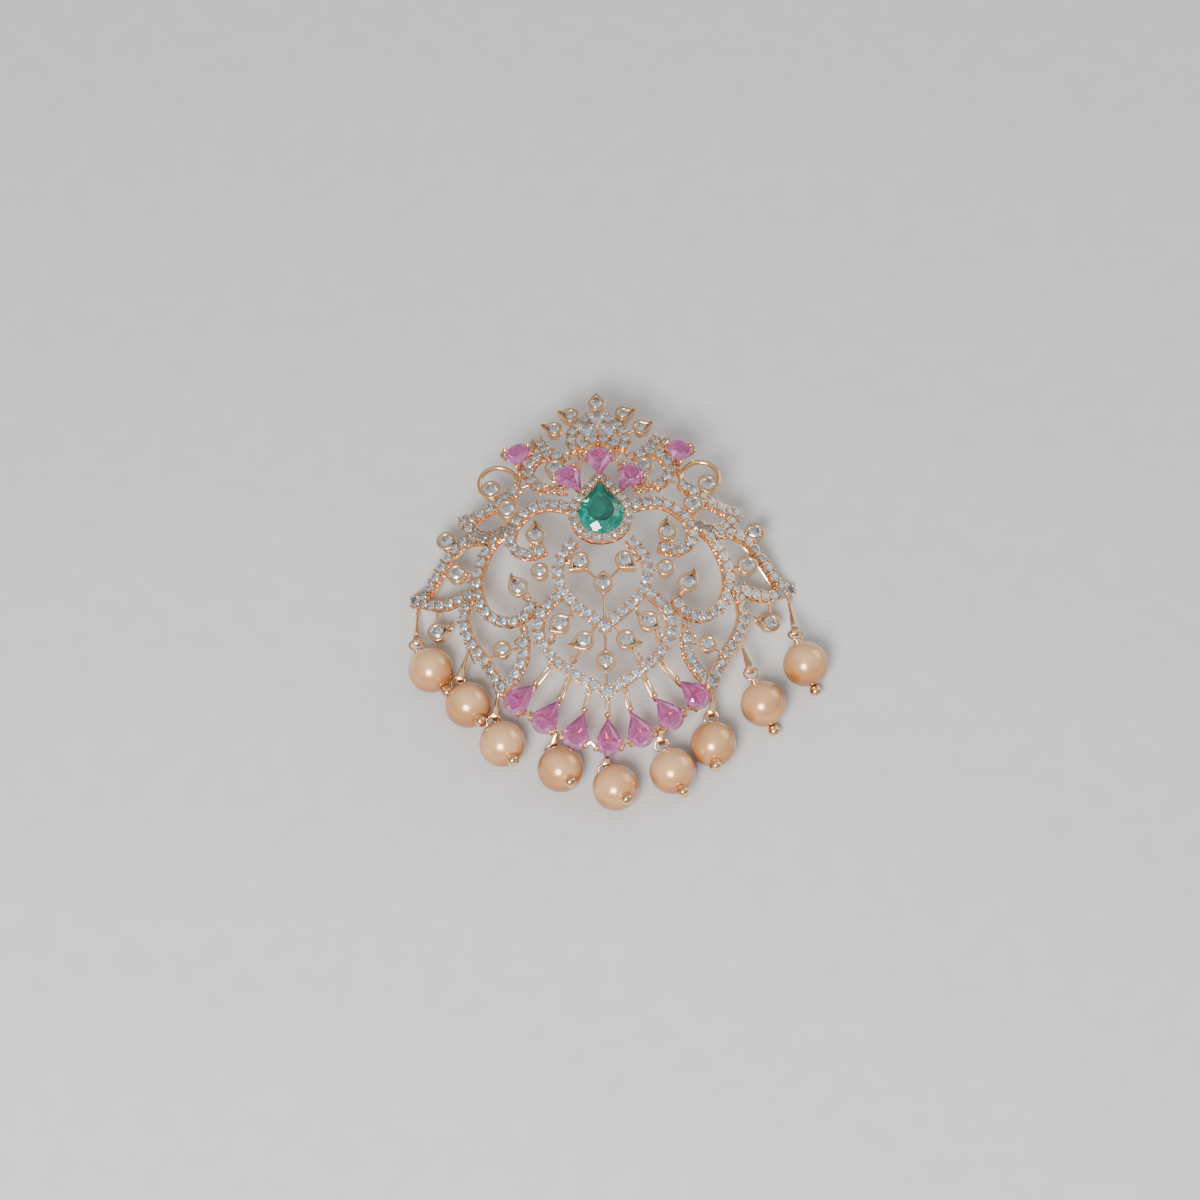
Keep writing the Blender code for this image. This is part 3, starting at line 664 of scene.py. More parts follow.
class Painter:
    """A material under construction."""

    def __init__(self, name: str) -> None:
        """Start a material.

        Args:
            name: The material's name.
        """
        self.material = bpy.data.materials.new(name)
        self.material.use_nodes = True
        self.tree = self.material.node_tree
        self.shader = self.tree.nodes["Principled BSDF"]

    def node(self, kind: str, **settings: object) -> bpy.types.Node:
        """Add a node.

        Args:
            kind: Its type.
            settings: Its properties, and the values of its inputs by their names.

        Returns:
            The node.
        """
        made = self.tree.nodes.new(kind)
        for name, value in settings.items():
            if name in made.inputs:
                made.inputs[name].default_value = value
            else:
                setattr(made, name, value)
        return made

    def group(self, tree: bpy.types.NodeTree, **values: float) -> bpy.types.Node:
        """Place a node group with its own values.

        Args:
            tree: The group.
            values: Its inputs by name, with _ for a space.

        Returns:
            The group's node.
        """
        made = self.tree.nodes.new("ShaderNodeGroup")
        made.node_tree = tree
        for name, value in values.items():
            made.inputs[name.replace("_", " ")].default_value = value
        return made

    def link(self, source: bpy.types.NodeSocket, target: bpy.types.NodeSocket) -> None:
        """Join two sockets."""
        self.tree.links.new(source, target)

    def set(self, **values: object) -> None:
        """Set plain values on the shader by its sockets' names, with _ for a space."""
        for name, value in values.items():
            self.shader.inputs[name.replace("_", " ")].default_value = value

    def ramp(self, factor: bpy.types.NodeSocket,
             stops: list[tuple[float, tuple[float, float, float]]]) -> bpy.types.NodeSocket:
        """A colour that changes with a value.

        Args:
            factor: The value.
            stops: Places from 0 to 1 with their colours.

        Returns:
            The colour.
        """
        made = self.node("ShaderNodeValToRGB")
        band = made.color_ramp
        while len(band.elements) < len(stops):
            band.elements.new(0.5)
        for element, (place, colour) in zip(band.elements, stops):
            element.position, element.color = place, (*colour, 1.0)
        self.link(factor, made.inputs["Fac"])
        return made.outputs["Color"]


def new_group(name: str, inputs: dict[str, tuple[str, float]],
              outputs: dict[str, str]) -> tuple[bpy.types.NodeTree, bpy.types.Node, bpy.types.Node]:
    """Start a shader node group.

    Args:
        name: The group's name.
        inputs: Its inputs by name, each with its socket type and its value.
        outputs: Its outputs by name, each with its socket type.

    Returns:
        The group, its input node and its output node.
    """
    tree = bpy.data.node_groups.new(name, "ShaderNodeTree")
    for socket, (kind, value) in inputs.items():
        made = tree.interface.new_socket(name=socket, in_out="INPUT", socket_type=kind)
        if kind == "NodeSocketFloat":
            made.default_value = value
    for socket, kind in outputs.items():
        tree.interface.new_socket(name=socket, in_out="OUTPUT", socket_type=kind)
    return tree, tree.nodes.new("NodeGroupInput"), tree.nodes.new("NodeGroupOutput")


class Effects:
    """Effects that several finishes share, each a node group that is built once."""

    def __init__(self) -> None:
        """Build the groups."""
        self.patina = self.build_patina()
        self.painted_sparkle = self.build_sparkle()

    @staticmethod
    def build_patina() -> bpy.types.NodeTree:
        """Slow drift of tone, and the fine marks that handling leaves on a polished surface.

        Returns:
            The group, which puts out a tone, a roughness and a height.
        """
        tree, start, end = new_group(
            "handled polish",
            {"Marks per metre": ("NodeSocketFloat", 3000.0), "Drift per metre": ("NodeSocketFloat", 300.0),
             "Smoothest": ("NodeSocketFloat", 0.08), "Roughest": ("NodeSocketFloat", 0.25)},
            {"Tone": "NodeSocketFloat", "Roughness": "NodeSocketFloat", "Height": "NodeSocketFloat"})
        place = tree.nodes.new("ShaderNodeTexCoord")
        marks, drift = (tree.nodes.new("ShaderNodeTexNoise") for _ in range(2))
        marks.inputs["Detail"].default_value = 4.0
        drift.inputs["Detail"].default_value = 2.0
        spread = tree.nodes.new("ShaderNodeMapRange")
        links = tree.links
        links.new(place.outputs["Object"], marks.inputs["Vector"])
        links.new(place.outputs["Object"], drift.inputs["Vector"])
        links.new(start.outputs["Marks per metre"], marks.inputs["Scale"])
        links.new(start.outputs["Drift per metre"], drift.inputs["Scale"])
        links.new(marks.outputs["Fac"], spread.inputs["Value"])
        spread.inputs["From Min"].default_value = 0.3
        spread.inputs["From Max"].default_value = 0.7
        links.new(start.outputs["Smoothest"], spread.inputs["To Min"])
        links.new(start.outputs["Roughest"], spread.inputs["To Max"])
        links.new(drift.outputs["Fac"], end.inputs["Tone"])
        links.new(spread.outputs["Result"], end.inputs["Roughness"])
        links.new(marks.outputs["Fac"], end.inputs["Height"])
        return tree

    @staticmethod
    def build_sparkle() -> bpy.types.NodeTree:
        """Painted light and dark play of facets: each facet's painted tone, mixed with random cells of
        painted light and shade (the clouds).

        Returns:
            The group, which puts out one value.
        """
        tree, start, end = new_group(
            "painted facet sparkle",
            {"Clouds per metre": ("NodeSocketFloat", 1500.0), "Clouds": ("NodeSocketFloat", 0.5)},
            {"Play": "NodeSocketFloat"})
        facet = tree.nodes.new("ShaderNodeAttribute")
        facet.attribute_name = "facet"
        place = tree.nodes.new("ShaderNodeTexCoord")
        # The clouds are random cells of painted light and shade inside the facets
        clouds = tree.nodes.new("ShaderNodeTexVoronoi")
        clouds.feature = "F1"
        mix = tree.nodes.new("ShaderNodeMix")
        mix.data_type = "FLOAT"
        links = tree.links
        links.new(place.outputs["Object"], clouds.inputs["Vector"])
        links.new(start.outputs["Clouds per metre"], clouds.inputs["Scale"])
        tone = tree.nodes.new("ShaderNodeSeparateColor")
        links.new(clouds.outputs["Color"], tone.inputs["Color"])
        links.new(start.outputs["Clouds"], mix.inputs[0])
        links.new(facet.outputs["Fac"], mix.inputs[2])
        links.new(tone.outputs["Red"], mix.inputs[3])
        links.new(mix.outputs[0], end.inputs["Play"])
        return tree


@dataclass(frozen=True)
class RoseGold:
    """Polished rose gold, warmer where its tone drifts, with the fine marks of handling."""

    light: tuple[float, float, float] = (0.980, 0.620, 0.340)
    warm: tuple[float, float, float] = (0.900, 0.500, 0.230)
    smoothest: float = 0.10
    roughest: float = 0.24
    mark_height: float = 0.000004
    mark_strength: float = 0.35
    warm_to: float = 0.30
    light_from: float = 0.62

    def paint(self, effects: Effects) -> bpy.types.Material:
        """Make the material."""
        work = Painter("rose gold")
        marks = work.group(effects.patina, Smoothest=self.smoothest, Roughest=self.roughest)
        tone = work.ramp(marks.outputs["Tone"], [(self.warm_to, self.warm), (self.light_from, self.light)])
        work.link(tone, work.shader.inputs["Base Color"])
        work.link(marks.outputs["Roughness"], work.shader.inputs["Roughness"])
        bump = work.node("ShaderNodeBump", Distance=self.mark_height,
                         Strength=self.mark_strength)
        work.link(marks.outputs["Height"], bump.inputs["Height"])
        work.link(bump.outputs["Normal"], work.shader.inputs["Normal"])
        work.set(Metallic=1.0)
        return work.material


@dataclass(frozen=True)
class Gem:
    """A cut stone whose base colour holds painted glints and reflections: facets from dark to bright under a
    hard polish.
    """

    name: str
    stops: tuple[tuple[float, tuple[float, float, float]], ...]
    # Size and share of the random cells of painted light and shade (the clouds)
    clouds_per_metre: float = 1500.0
    clouds: float = 0.5
    ior: float = 2.2
    metallic: float = 0.0
    transmission: float = 0.0

    def paint(self, effects: Effects) -> bpy.types.Material:
        """Make the material."""
        work = Painter(self.name)
        play = work.group(effects.painted_sparkle, Clouds_per_metre=self.clouds_per_metre, Clouds=self.clouds)
        # The base colour is painted light: the facets' painted tones pick from dark to bright on the ramp
        work.link(work.ramp(play.outputs["Play"], list(self.stops)), work.shader.inputs["Base Color"])
        work.set(Metallic=self.metallic, Roughness=0.0, IOR=self.ior,
                 Transmission_Weight=self.transmission)
        return work.material


@dataclass(frozen=True)
class GoldenNacre:
    """Nacre of a champagne pearl: painted shade and reflection that run from dark amber at its bottom to
    pale at its top, faint clouds and a silky coat.
    """

    # Painted shade and reflection: low is the dark amber at the bottom of each pearl, high the pale colour
    # at its top, middle between
    low: tuple[float, float, float] = (0.200, 0.045, 0.004)
    middle: tuple[float, float, float] = (0.500, 0.190, 0.045)
    high: tuple[float, float, float] = (0.800, 0.450, 0.210)
    size: float = 0.00522
    painted_shade_fade: float = 0.9
    shift: float = 0.45
    painted_shade_to: float = 0.18
    middle_at: float = 0.58
    painted_light_from: float = 0.92

    def paint(self, effects: Effects) -> bpy.types.Material:
        """Make the material."""
        work = Painter("golden nacre")
        silk = work.group(effects.patina, Marks_per_metre=2200.0, Drift_per_metre=180.0, Smoothest=0.20,
                          Roughest=0.28)
        place = work.node("ShaderNodeTexCoord")
        parts = work.node("ShaderNodeSeparateXYZ")
        work.link(place.outputs["Object"], parts.inputs["Vector"])
        # Darker towards the bottom: height above the floor, with a little drift of tone, picks the painted
        # shade on the ramp
        height = work.node("ShaderNodeMath", operation="MULTIPLY_ADD")
        work.link(parts.outputs["Z"], height.inputs[0])
        height.inputs[1].default_value = self.painted_shade_fade / self.size
        work.link(silk.outputs["Tone"], height.inputs[2])
        shift = work.node("ShaderNodeMath", operation="SUBTRACT")
        work.link(height.outputs["Value"], shift.inputs[0])
        shift.inputs[1].default_value = self.shift
        tone = work.ramp(shift.outputs["Value"], [(self.painted_shade_to, self.low), (self.middle_at, self.middle),
                                                  (self.painted_light_from, self.high)])
        work.link(tone, work.shader.inputs["Base Color"])
        work.link(silk.outputs["Roughness"], work.shader.inputs["Roughness"])
        work.set(IOR=1.6, Coat_Weight=0.6, Coat_Roughness=0.15, Metallic=0.25)
        return work.material


@dataclass
class Finishes:
    """All finishes of the pendant."""

    gold: bpy.types.Material
    white: bpy.types.Material
    green: bpy.types.Material
    pink: bpy.types.Material
    nacre: bpy.types.Material

    @classmethod
    def make(cls) -> "Finishes":
        """Paint every finish."""
        effects = Effects()
        # Each stone's own colour is spread on a ramp of painted light: the grey and darkest stops are
        # painted shade and reflection, the palest stops painted glints
        white = Gem("colourless stone", ((0.00, (0.96, 0.97, 1.00)), (0.28, (0.60, 0.62, 0.67)),
                                         (0.50, (0.97, 0.98, 1.00)), (1.00, (1.00, 1.00, 1.00))),
                    clouds_per_metre=2600.0, clouds=0.30, ior=2.3, transmission=0.90)
        green = Gem("green beryl", ((0.00, (0.003, 0.045, 0.036)), (0.25, (0.000, 0.200, 0.150)),
                                    (0.55, (0.001, 0.430, 0.310)), (0.80, (0.035, 0.740, 0.580)),
                                    (1.00, (0.300, 0.960, 0.840))),
                    clouds_per_metre=700.0, clouds=0.20, ior=1.7, transmission=0.82)
        pink = Gem("orchid stone", ((0.00, (0.480, 0.110, 0.330)), (0.30, (0.760, 0.120, 0.480)),
                                    (0.55, (0.940, 0.300, 0.700)), (0.80, (1.000, 0.580, 0.880)),
                                    (1.00, (1.000, 0.840, 0.960))),
                   clouds_per_metre=900.0, clouds=0.20, ior=1.8, transmission=0.80)
        return cls(RoseGold().paint(effects), white.paint(effects), green.paint(effects),
                   pink.paint(effects), GoldenNacre().paint(effects))


# ---------------------------------------------------------------------------------------------------------
# Sub-assemblies
# ---------------------------------------------------------------------------------------------------------


@dataclass
class StoneBands:
    """The curled bands: a pierced drum for each stone, beads between the drums, and rails below them.

    How far beads, rails and webs stand out, and how deep they lie, are shares of the width and the depth.
    """

    dome: Dome
    width: float = 0.00130
    depth: float = 0.00095
    pitch: float = 0.00130
    stone: float = 0.00122
    rim: float = 0.00009
    bead: float = 0.00040
    rail: float = 0.00026
    tilt: float = 0.09
    spin: float = 0.7
    drum_sides: int = 12
    drum_taper: float = 0.84
    bead_out: float = 0.42
    bead_rise: float = 0.00004
    rail_out: float = 0.36
    rail_deep: float = 0.88
    rail_clear: float = 0.6
    web_out: float = 0.26
    web_radius: float = 0.17
    web_length: float = 0.65
    web_deep: float = 0.60
    web_taper: float = 0.7
    joint_lift: float = 0.3
    joint_turn: float = 45.0
    joint_bead_out: float = 0.46
    clearance: float = 0.00003
    halo_width: float = 0.00105
    halo_pitch: float = 0.00115
    halo_below: float = 0.0004
    halo_steps: int = 72
    cells: list[Matrix] = field(default_factory=list)
    beads: list[Matrix] = field(default_factory=list)
    webs: list[Matrix] = field(default_factory=list)
    stones: list[Matrix] = field(default_factory=list)
    rails: list[bpy.types.Object] = field(default_factory=list)

    def drum(self) -> bpy.types.Object:
        """One stone's drum: a tapered wall with a thin rim, open below the stone."""
        made = Bench.new(bpy.ops.mesh.primitive_cylinder_add, vertices=self.drum_sides,
                         radius=self.width / 2, depth=self.depth, location=(0, 0, -self.depth / 2))
        Bench.settle(made)
        with Bench.editing(made):
            Bench.pick(made, lambda middle, normal: abs(normal.z) > LEVEL)
            bpy.ops.mesh.inset(thickness=self.rim)
            bpy.ops.mesh.bridge_edge_loops()
            Bench.pick(made, lambda middle, normal: normal.z < -LEVEL)
            bpy.ops.transform.resize(value=(self.drum_taper, self.drum_taper, 1.0))
        return made

    def lay(self, path: list[Vector], closed: bool = False, scale: float = 1.0,
            below: float = 0.0) -> None:
        """Lay a band's drums, beads and rails along a path.

        Args:
            path: The ends of its cells.
            closed: Whether the band runs back to its start.
            scale: Its width in band widths.
            below: How much deeper its rails lie than a common band's.
        """
        count = len(path) if closed else len(path) - 1
        size = Matrix.Scale(scale, 4)
        for place in range(count):
            start, stop = path[place], path[(place + 1) % len(path)]
            middle = (start + stop) / 2
            here = stand(middle, stop - start, self.dome.up(middle)) @ size
            self.cells.append(here)
            turn = Matrix.Rotation(self.spin * place, 4, "Z") @ Matrix.Rotation(self.tilt, 4, "X")
            self.stones.append(here @ turn)
        edges: list[list[Vector]] = [[], []]
        for place, point in enumerate(path):
            before = path[place - 1] if closed or place else path[0]
            after = path[(place + 1) % len(path)] if closed or place < len(path) - 1 else path[-1]
            here = stand(point, after - before, self.dome.up(point)) @ size
            for row, sign in zip(edges, (1, -1)):
                self.beads.append(here @ Matrix.Translation(
                    (0, sign * self.width * self.bead_out, self.bead_rise)))
                low = here @ Vector((0, sign * self.width * self.rail_out,
                                     -self.depth * self.rail_deep - below))
                row.append(Vector((low.x, low.y, max(low.z, self.rail_clear * self.rail))))
                self.webs.append(here @ Matrix.Translation((0, sign * self.width * self.web_out, 0)))
        for row in edges:
            self.rails.append(Bench.wire(row, [self.rail / 2] * len(row), 6, closed))

    def halo_path(self) -> list[Vector]:
        """The pear-shaped path round the green stone."""
        green = GreenCentre(self.dome)
        apart = self.halo_width / 2 + green.gap
        radius = green.width / 2
        reach = green.length - radius
        grow = 1 + apart / radius
        heart = green.heart()
        outline = Drop(tip=reach / radius)
        ring = []
        for step in range(self.halo_steps):
            turn = 2 * math.pi * step / self.halo_steps
            x, y = outline.shape(math.cos(turn), math.sin(turn))
            point = Vector((-y, x, 0)) * radius * grow + Vector((heart.x, heart.y, 0))
            away = point - self.dome.origin
            point.z = self.dome.height(away.x, away.y) + green.halo_lift + self.dome.origin.z
            ring.append(point)
        return smooth_path(ring + ring[:1], self.halo_pitch)[:-1]

    def build(self, finishes: Finishes) -> None:
        """Model and dress every band."""
        for lift, shares in BANDS.values():
            for side in Side:
                points = [self.dome.place(side.value * x, y, lift * self.depth) for x, y in shares]
                self.lay(smooth_path(points, self.pitch))
        self.lay(self.halo_path(), closed=True, scale=self.halo_width / self.width, below=self.halo_below)
        for x, y, size in JOINT_SEATS:
            for side in sides_of(x):
                spot = self.dome.place(side.value * x, y, self.joint_lift * self.depth)
                here = self.dome.stand(spot, self.joint_turn) @ Matrix.Scale(size, 4)
                self.cells.append(here)
                self.stones.append(here)
                for quarter in range(4):
                    self.beads.append(here @ Matrix.Rotation(math.pi / 2 * quarter, 4, "Z")
                                      @ Matrix.Translation((self.width * self.joint_bead_out, 0, 0)))
        post = Bench.new(bpy.ops.mesh.primitive_cylinder_add, vertices=6,
                         radius=self.width * self.web_radius, depth=self.depth * self.web_length,
                         location=(0, 0, -self.depth * self.web_deep))
        Bench.settle(post)
        with Bench.editing(post):
            Bench.pick(post, lambda middle, normal: normal.z < -LEVEL)
            bpy.ops.transform.resize(value=(self.web_taper, self.web_taper, 1.0))
        self.rails.append(Bench.copies("webs", post, self.webs))
        drums = Bench.copies("drums", self.drum(), self.cells)
        beads = Bench.copies("beads", ball(self.bead / 2, 8, 5), self.beads)
        for piece in (drums, self.rails[-1]):
            Bench.mould(piece, lambda p: Vector((p.x, p.y, max(p.z, self.clearance))))
        gold = Bench.join("band_gold", [drums, beads, *self.rails])
        Bench.close(gold, 35)
        Bench.hand_over(gold, finishes.gold, ["frame"], Slot.GOLD)
        stone = Cut(sides=16, girdle=0.0).stone(self.stone / 2)
        stones = Bench.copies("band_stones", stone, self.stones)
        Bench.close(stones, 0)
        Bench.hand_over(stones, finishes.white, ["frame"], None)


class Head(Enum):
    """Outlines of the closed collets."""

    ROUND = Drop()
    LEAF = Drop(tip=1.62)
    CURLED = Drop(tip=1.66, curl=0.55)
    CURLED_BACK = Drop(tip=1.66, curl=-0.55)
    LONG = Drop(tip=1.78, curl=0.36)
    LONG_BACK = Drop(tip=1.78, curl=-0.36)
    DOUBLE = Drop(tip=1.34, tail=1.26)

    def mirrored(self) -> "Head":
        """The outline for the other side of the pendant."""
        return {Head.CURLED: Head.CURLED_BACK, Head.CURLED_BACK: Head.CURLED, Head.LONG: Head.LONG_BACK,
                Head.LONG_BACK: Head.LONG}.get(self, self)


# Collets of one side: x, y, diameter, outline, heading of the tip in degrees
COLLETS: list[tuple[float, float, float, Head, float]] = [
    (0.000, 1.165, 0.00210, Head.LEAF, 90),
    (0.139, 1.090, 0.00200, Head.LONG, 6),
    (0.230, 0.997, 0.00204, Head.LONG, 10),
    (0.232, 0.724, 0.00250, Head.ROUND, 0),
    (0.575, 0.657, 0.00250, Head.ROUND, 0),
    (0.490, 0.509, 0.00250, Head.ROUND, 0),
    (0.345, 0.322, 0.00235, Head.CURLED_BACK, 108),
    (0.327, 0.110, 0.00215, Head.ROUND, 0),
    (0.441, 0.040, 0.00240, Head.CURLED, 46),
    (0.817, 0.422, 0.00240, Head.LEAF, 202),
    (0.764, 0.206, 0.00250, Head.ROUND, 0),
    (0.874, -0.082, 0.00235, Head.LEAF, 166),
    (0.114, 0.143, 0.00235, Head.LEAF, -40),
    (0.000, 0.014, 0.00240, Head.DOUBLE, 90),
    (0.228, -0.188, 0.00250, Head.DOUBLE, -35),
    (0.107, -0.287, 0.00240, Head.CURLED, -35),
    (0.000, -0.395, 0.00245, Head.DOUBLE, -90),
    (0.531, -0.275, 0.00215, Head.ROUND, 0),
]


@dataclass
class ClosedCollets:
    """Cups of gold with a rounded rim, each closed round one white stone."""

    dome: Dome
    depth: float = 0.00130
    lift: float = 0.00035
    rim: float = 0.00040
    sunk: float = 0.00012
    lean: float = 0.30
    sides: int = 24
    mouth: float = 0.92
    well: float = 0.72
    throat: float = 0.62
    foot: float = 0.8
    rounding: float = 0.32
    stone_fit: float = 0.99
    stone_sunk: float = 0.55
    stone_tip: float = 0.45
    stone_curl: float = 0.2

    def cup(self, diameter: float, outline: Drop) -> bpy.types.Object:
        """One cup.

        Args:
            diameter: Its outer diameter.
            outline: Its outline.

        Returns:
            The cup, its rim in the plane of X and Y.
        """
        radius = diameter / 2
        made = Bench.new(bpy.ops.mesh.primitive_cylinder_add, vertices=self.sides, radius=radius,
                         depth=self.depth, location=(0, 0, -self.depth / 2))
        Bench.settle(made)
        Bench.mould(made, lambda p: Vector((*(radius * v for v in outline.shape(p.x / radius,
                                                                              p.y / radius)), p.z)))
        with Bench.editing(made):
            Bench.pick(made, lambda middle, normal: normal.z > LEVEL)
            bpy.ops.mesh.inset(thickness=self.rim)
            Bench.push(0, 0, -self.sunk)
            bpy.ops.transform.resize(value=(self.mouth, self.mouth, 1.0))
            Bench.push(0, 0, -self.depth * self.well)
            bpy.ops.transform.resize(value=(self.throat, self.throat, 1.0))
            Bench.pick(made, lambda middle, normal: normal.z < -LEVEL)
            bpy.ops.transform.resize(value=(self.foot, self.foot, 1.0))
            Bench.pick(made, lambda middle, normal: normal.z > LEVEL and middle.z > -self.sunk / 2)
            bpy.ops.mesh.select_mode(type="EDGE")
            bpy.ops.mesh.bevel(offset=self.rim * self.rounding, segments=3, profile=0.5)
        return made

    def build(self, finishes: Finishes) -> None:
        """Model and dress the collets and their stones."""
        cups, stones = [], []
        for x, y, diameter, head, heading in COLLETS:
            for side in sides_of(x):
                turned = heading if side is Side.RIGHT else 180 - heading
                outline = (head if side is Side.RIGHT else head.mirrored()).value
                here = self.dome.stand(self.dome.place(side.value * x, y, self.lift), turned, self.lean)
                cup = self.cup(diameter, outline)
                cup.data.transform(here)
                cups.append(cup)
                inner = 1 - 2 * self.rim / diameter
                drawn = Drop(1 + (outline.tip - 1) * self.stone_tip, 1 + (outline.tail - 1) * self.stone_tip,
                             outline.curl * self.stone_curl)
                stone = Cut(sides=16, table=0.55, crown=0.30, girdle=0.0, waist=0.55).stone(
                    diameter / 2 * inner * self.stone_fit, drawn)
                stone.data.transform(here @ Matrix.Translation((0, 0, -self.sunk * self.stone_sunk)))
                stones.append(stone)
        gold = Bench.join("collet_gold", cups)
        Bench.close(gold, 50)
        Bench.hand_over(gold, finishes.gold, ["frame"], Slot.GOLD)
        white = Bench.join("collet_stones", stones)
        Bench.close(white, 0)
        Bench.hand_over(white, finishes.white, ["frame"], None)


@dataclass
class CrownDrops:
    """The three larger drops of the crown, each held by three prongs."""

    dome: Dome
    radius: float = 0.00090
    tip: float = 1.40
    lift: float = 0.00060
    lean: float = 0.4
    prong: float = 0.00034
    prong_turns: tuple[float, ...] = (0, 120, 240)
    prong_thin: float = 0.4
    prong_top: float = 0.00008
    prong_in: float = 0.8
    prong_deep: float = 0.8
    depth: float = 0.00095
    wall: float = 0.16
    mouth: float = 0.98
    foot: float = 0.7
    step: float = 0.00010

    def build(self, finishes: Finishes) -> None:
        """Model and dress the drops."""
        gold, stones = [], []
        outline = Drop(tip=self.tip)
        for x, y, heading in CROWN_DROPS:
            for side in sides_of(x):
                here = self.dome.stand(self.dome.place(side.value * x, y, self.lift), heading, self.lean)
                stone = Cut(sides=16, crown=0.34, table=0.5).stone(self.radius, outline)
                stone.data.transform(here)
                stones.append(stone)
                cup = Bench.new(bpy.ops.mesh.primitive_cylinder_add, vertices=16, radius=1.0, depth=1.0)
                with Bench.editing(cup):
                    Bench.pick(cup, lambda middle, normal: abs(normal.z) > LEVEL)
                    bpy.ops.mesh.inset(thickness=self.wall)
                    bpy.ops.mesh.bridge_edge_loops()
                Bench.mould(cup, lambda p: Vector((*(v * self.radius * (self.mouth if p.z > 0 else self.foot)
                                                     for v in outline.shape(p.x, p.y)),
                                                   -self.step if p.z > 0 else -self.depth)))
                cup.data.transform(here)
                gold.append(cup)
                for angle in self.prong_turns:
                    turn = math.radians(angle)
                    reach = self.radius * (self.tip if angle == 0 else 1.0)
                    spot = Vector((math.cos(turn), math.sin(turn), 0)) * reach
                    knob = ball(self.prong / 2, 8, 5)
                    knob.data.transform(here @ Matrix.Translation(spot + Vector((0, 0, self.step))))
                    gold.append(knob)
                    top = spot + Vector((0, 0, self.prong_top))
                    low = spot * self.prong_in - Vector((0, 0, self.depth * self.prong_deep))
                    gold.append(Bench.wire([here @ top, here @ low], [self.prong * self.prong_thin] * 2, 6))
        made = Bench.join("crown_gold", gold)
        Bench.close(made, 40)
        Bench.hand_over(made, finishes.gold, ["frame"], Slot.GOLD)
        white = Bench.join("crown_stones", stones)
        Bench.close(white, 0)
        Bench.hand_over(white, finishes.white, ["frame"], None)


@dataclass
class GreenCentre:
    """The green pear in the middle."""

    dome: Dome
    length: float = 0.00700
    width: float = 0.00530
    gap: float = 0.00010
    share_y: float = 0.450
    halo_lift: float = 0.00060
    crown: float = 0.16
    fall: float = 0.30

    def heart(self) -> Vector:
        """The middle of the stone's round part."""
        point = self.dome.place(0.0, self.share_y + self.length / 2 / self.dome.half_height,
                                self.halo_lift + self.gap)
        return point - Vector((0, self.length - self.width / 2, 0))

    def build(self, finishes: Finishes) -> None:
        """Model and dress the stone."""
        radius = self.width / 2
        cut = Cut(sides=20, crown=2 * self.crown, pavilion=2 * self.fall, table=0.60, shoulder=0.84,
                  girdle=0.04, waist=0.62)
        stone = cut.stone(radius, Drop(tip=(self.length - radius) / radius))
        stone.data.transform(stand(self.heart(), Vector((0, 1, 0)), Vector((0, 0, 1))))
        stone.name = stone.data.name = "green_pear"
        Bench.close(stone, 0)
        Bench.hand_over(stone, finishes.green, ["emerald"], Slot.GREEN)


@dataclass(frozen=True)
class PinkPlace:
    """Where a pink pear sits: its name, its point, the directions along, across and up, and its length."""

    name: str
    point: Vector
    along: Vector
    across: Vector
    up: Vector
    length: float


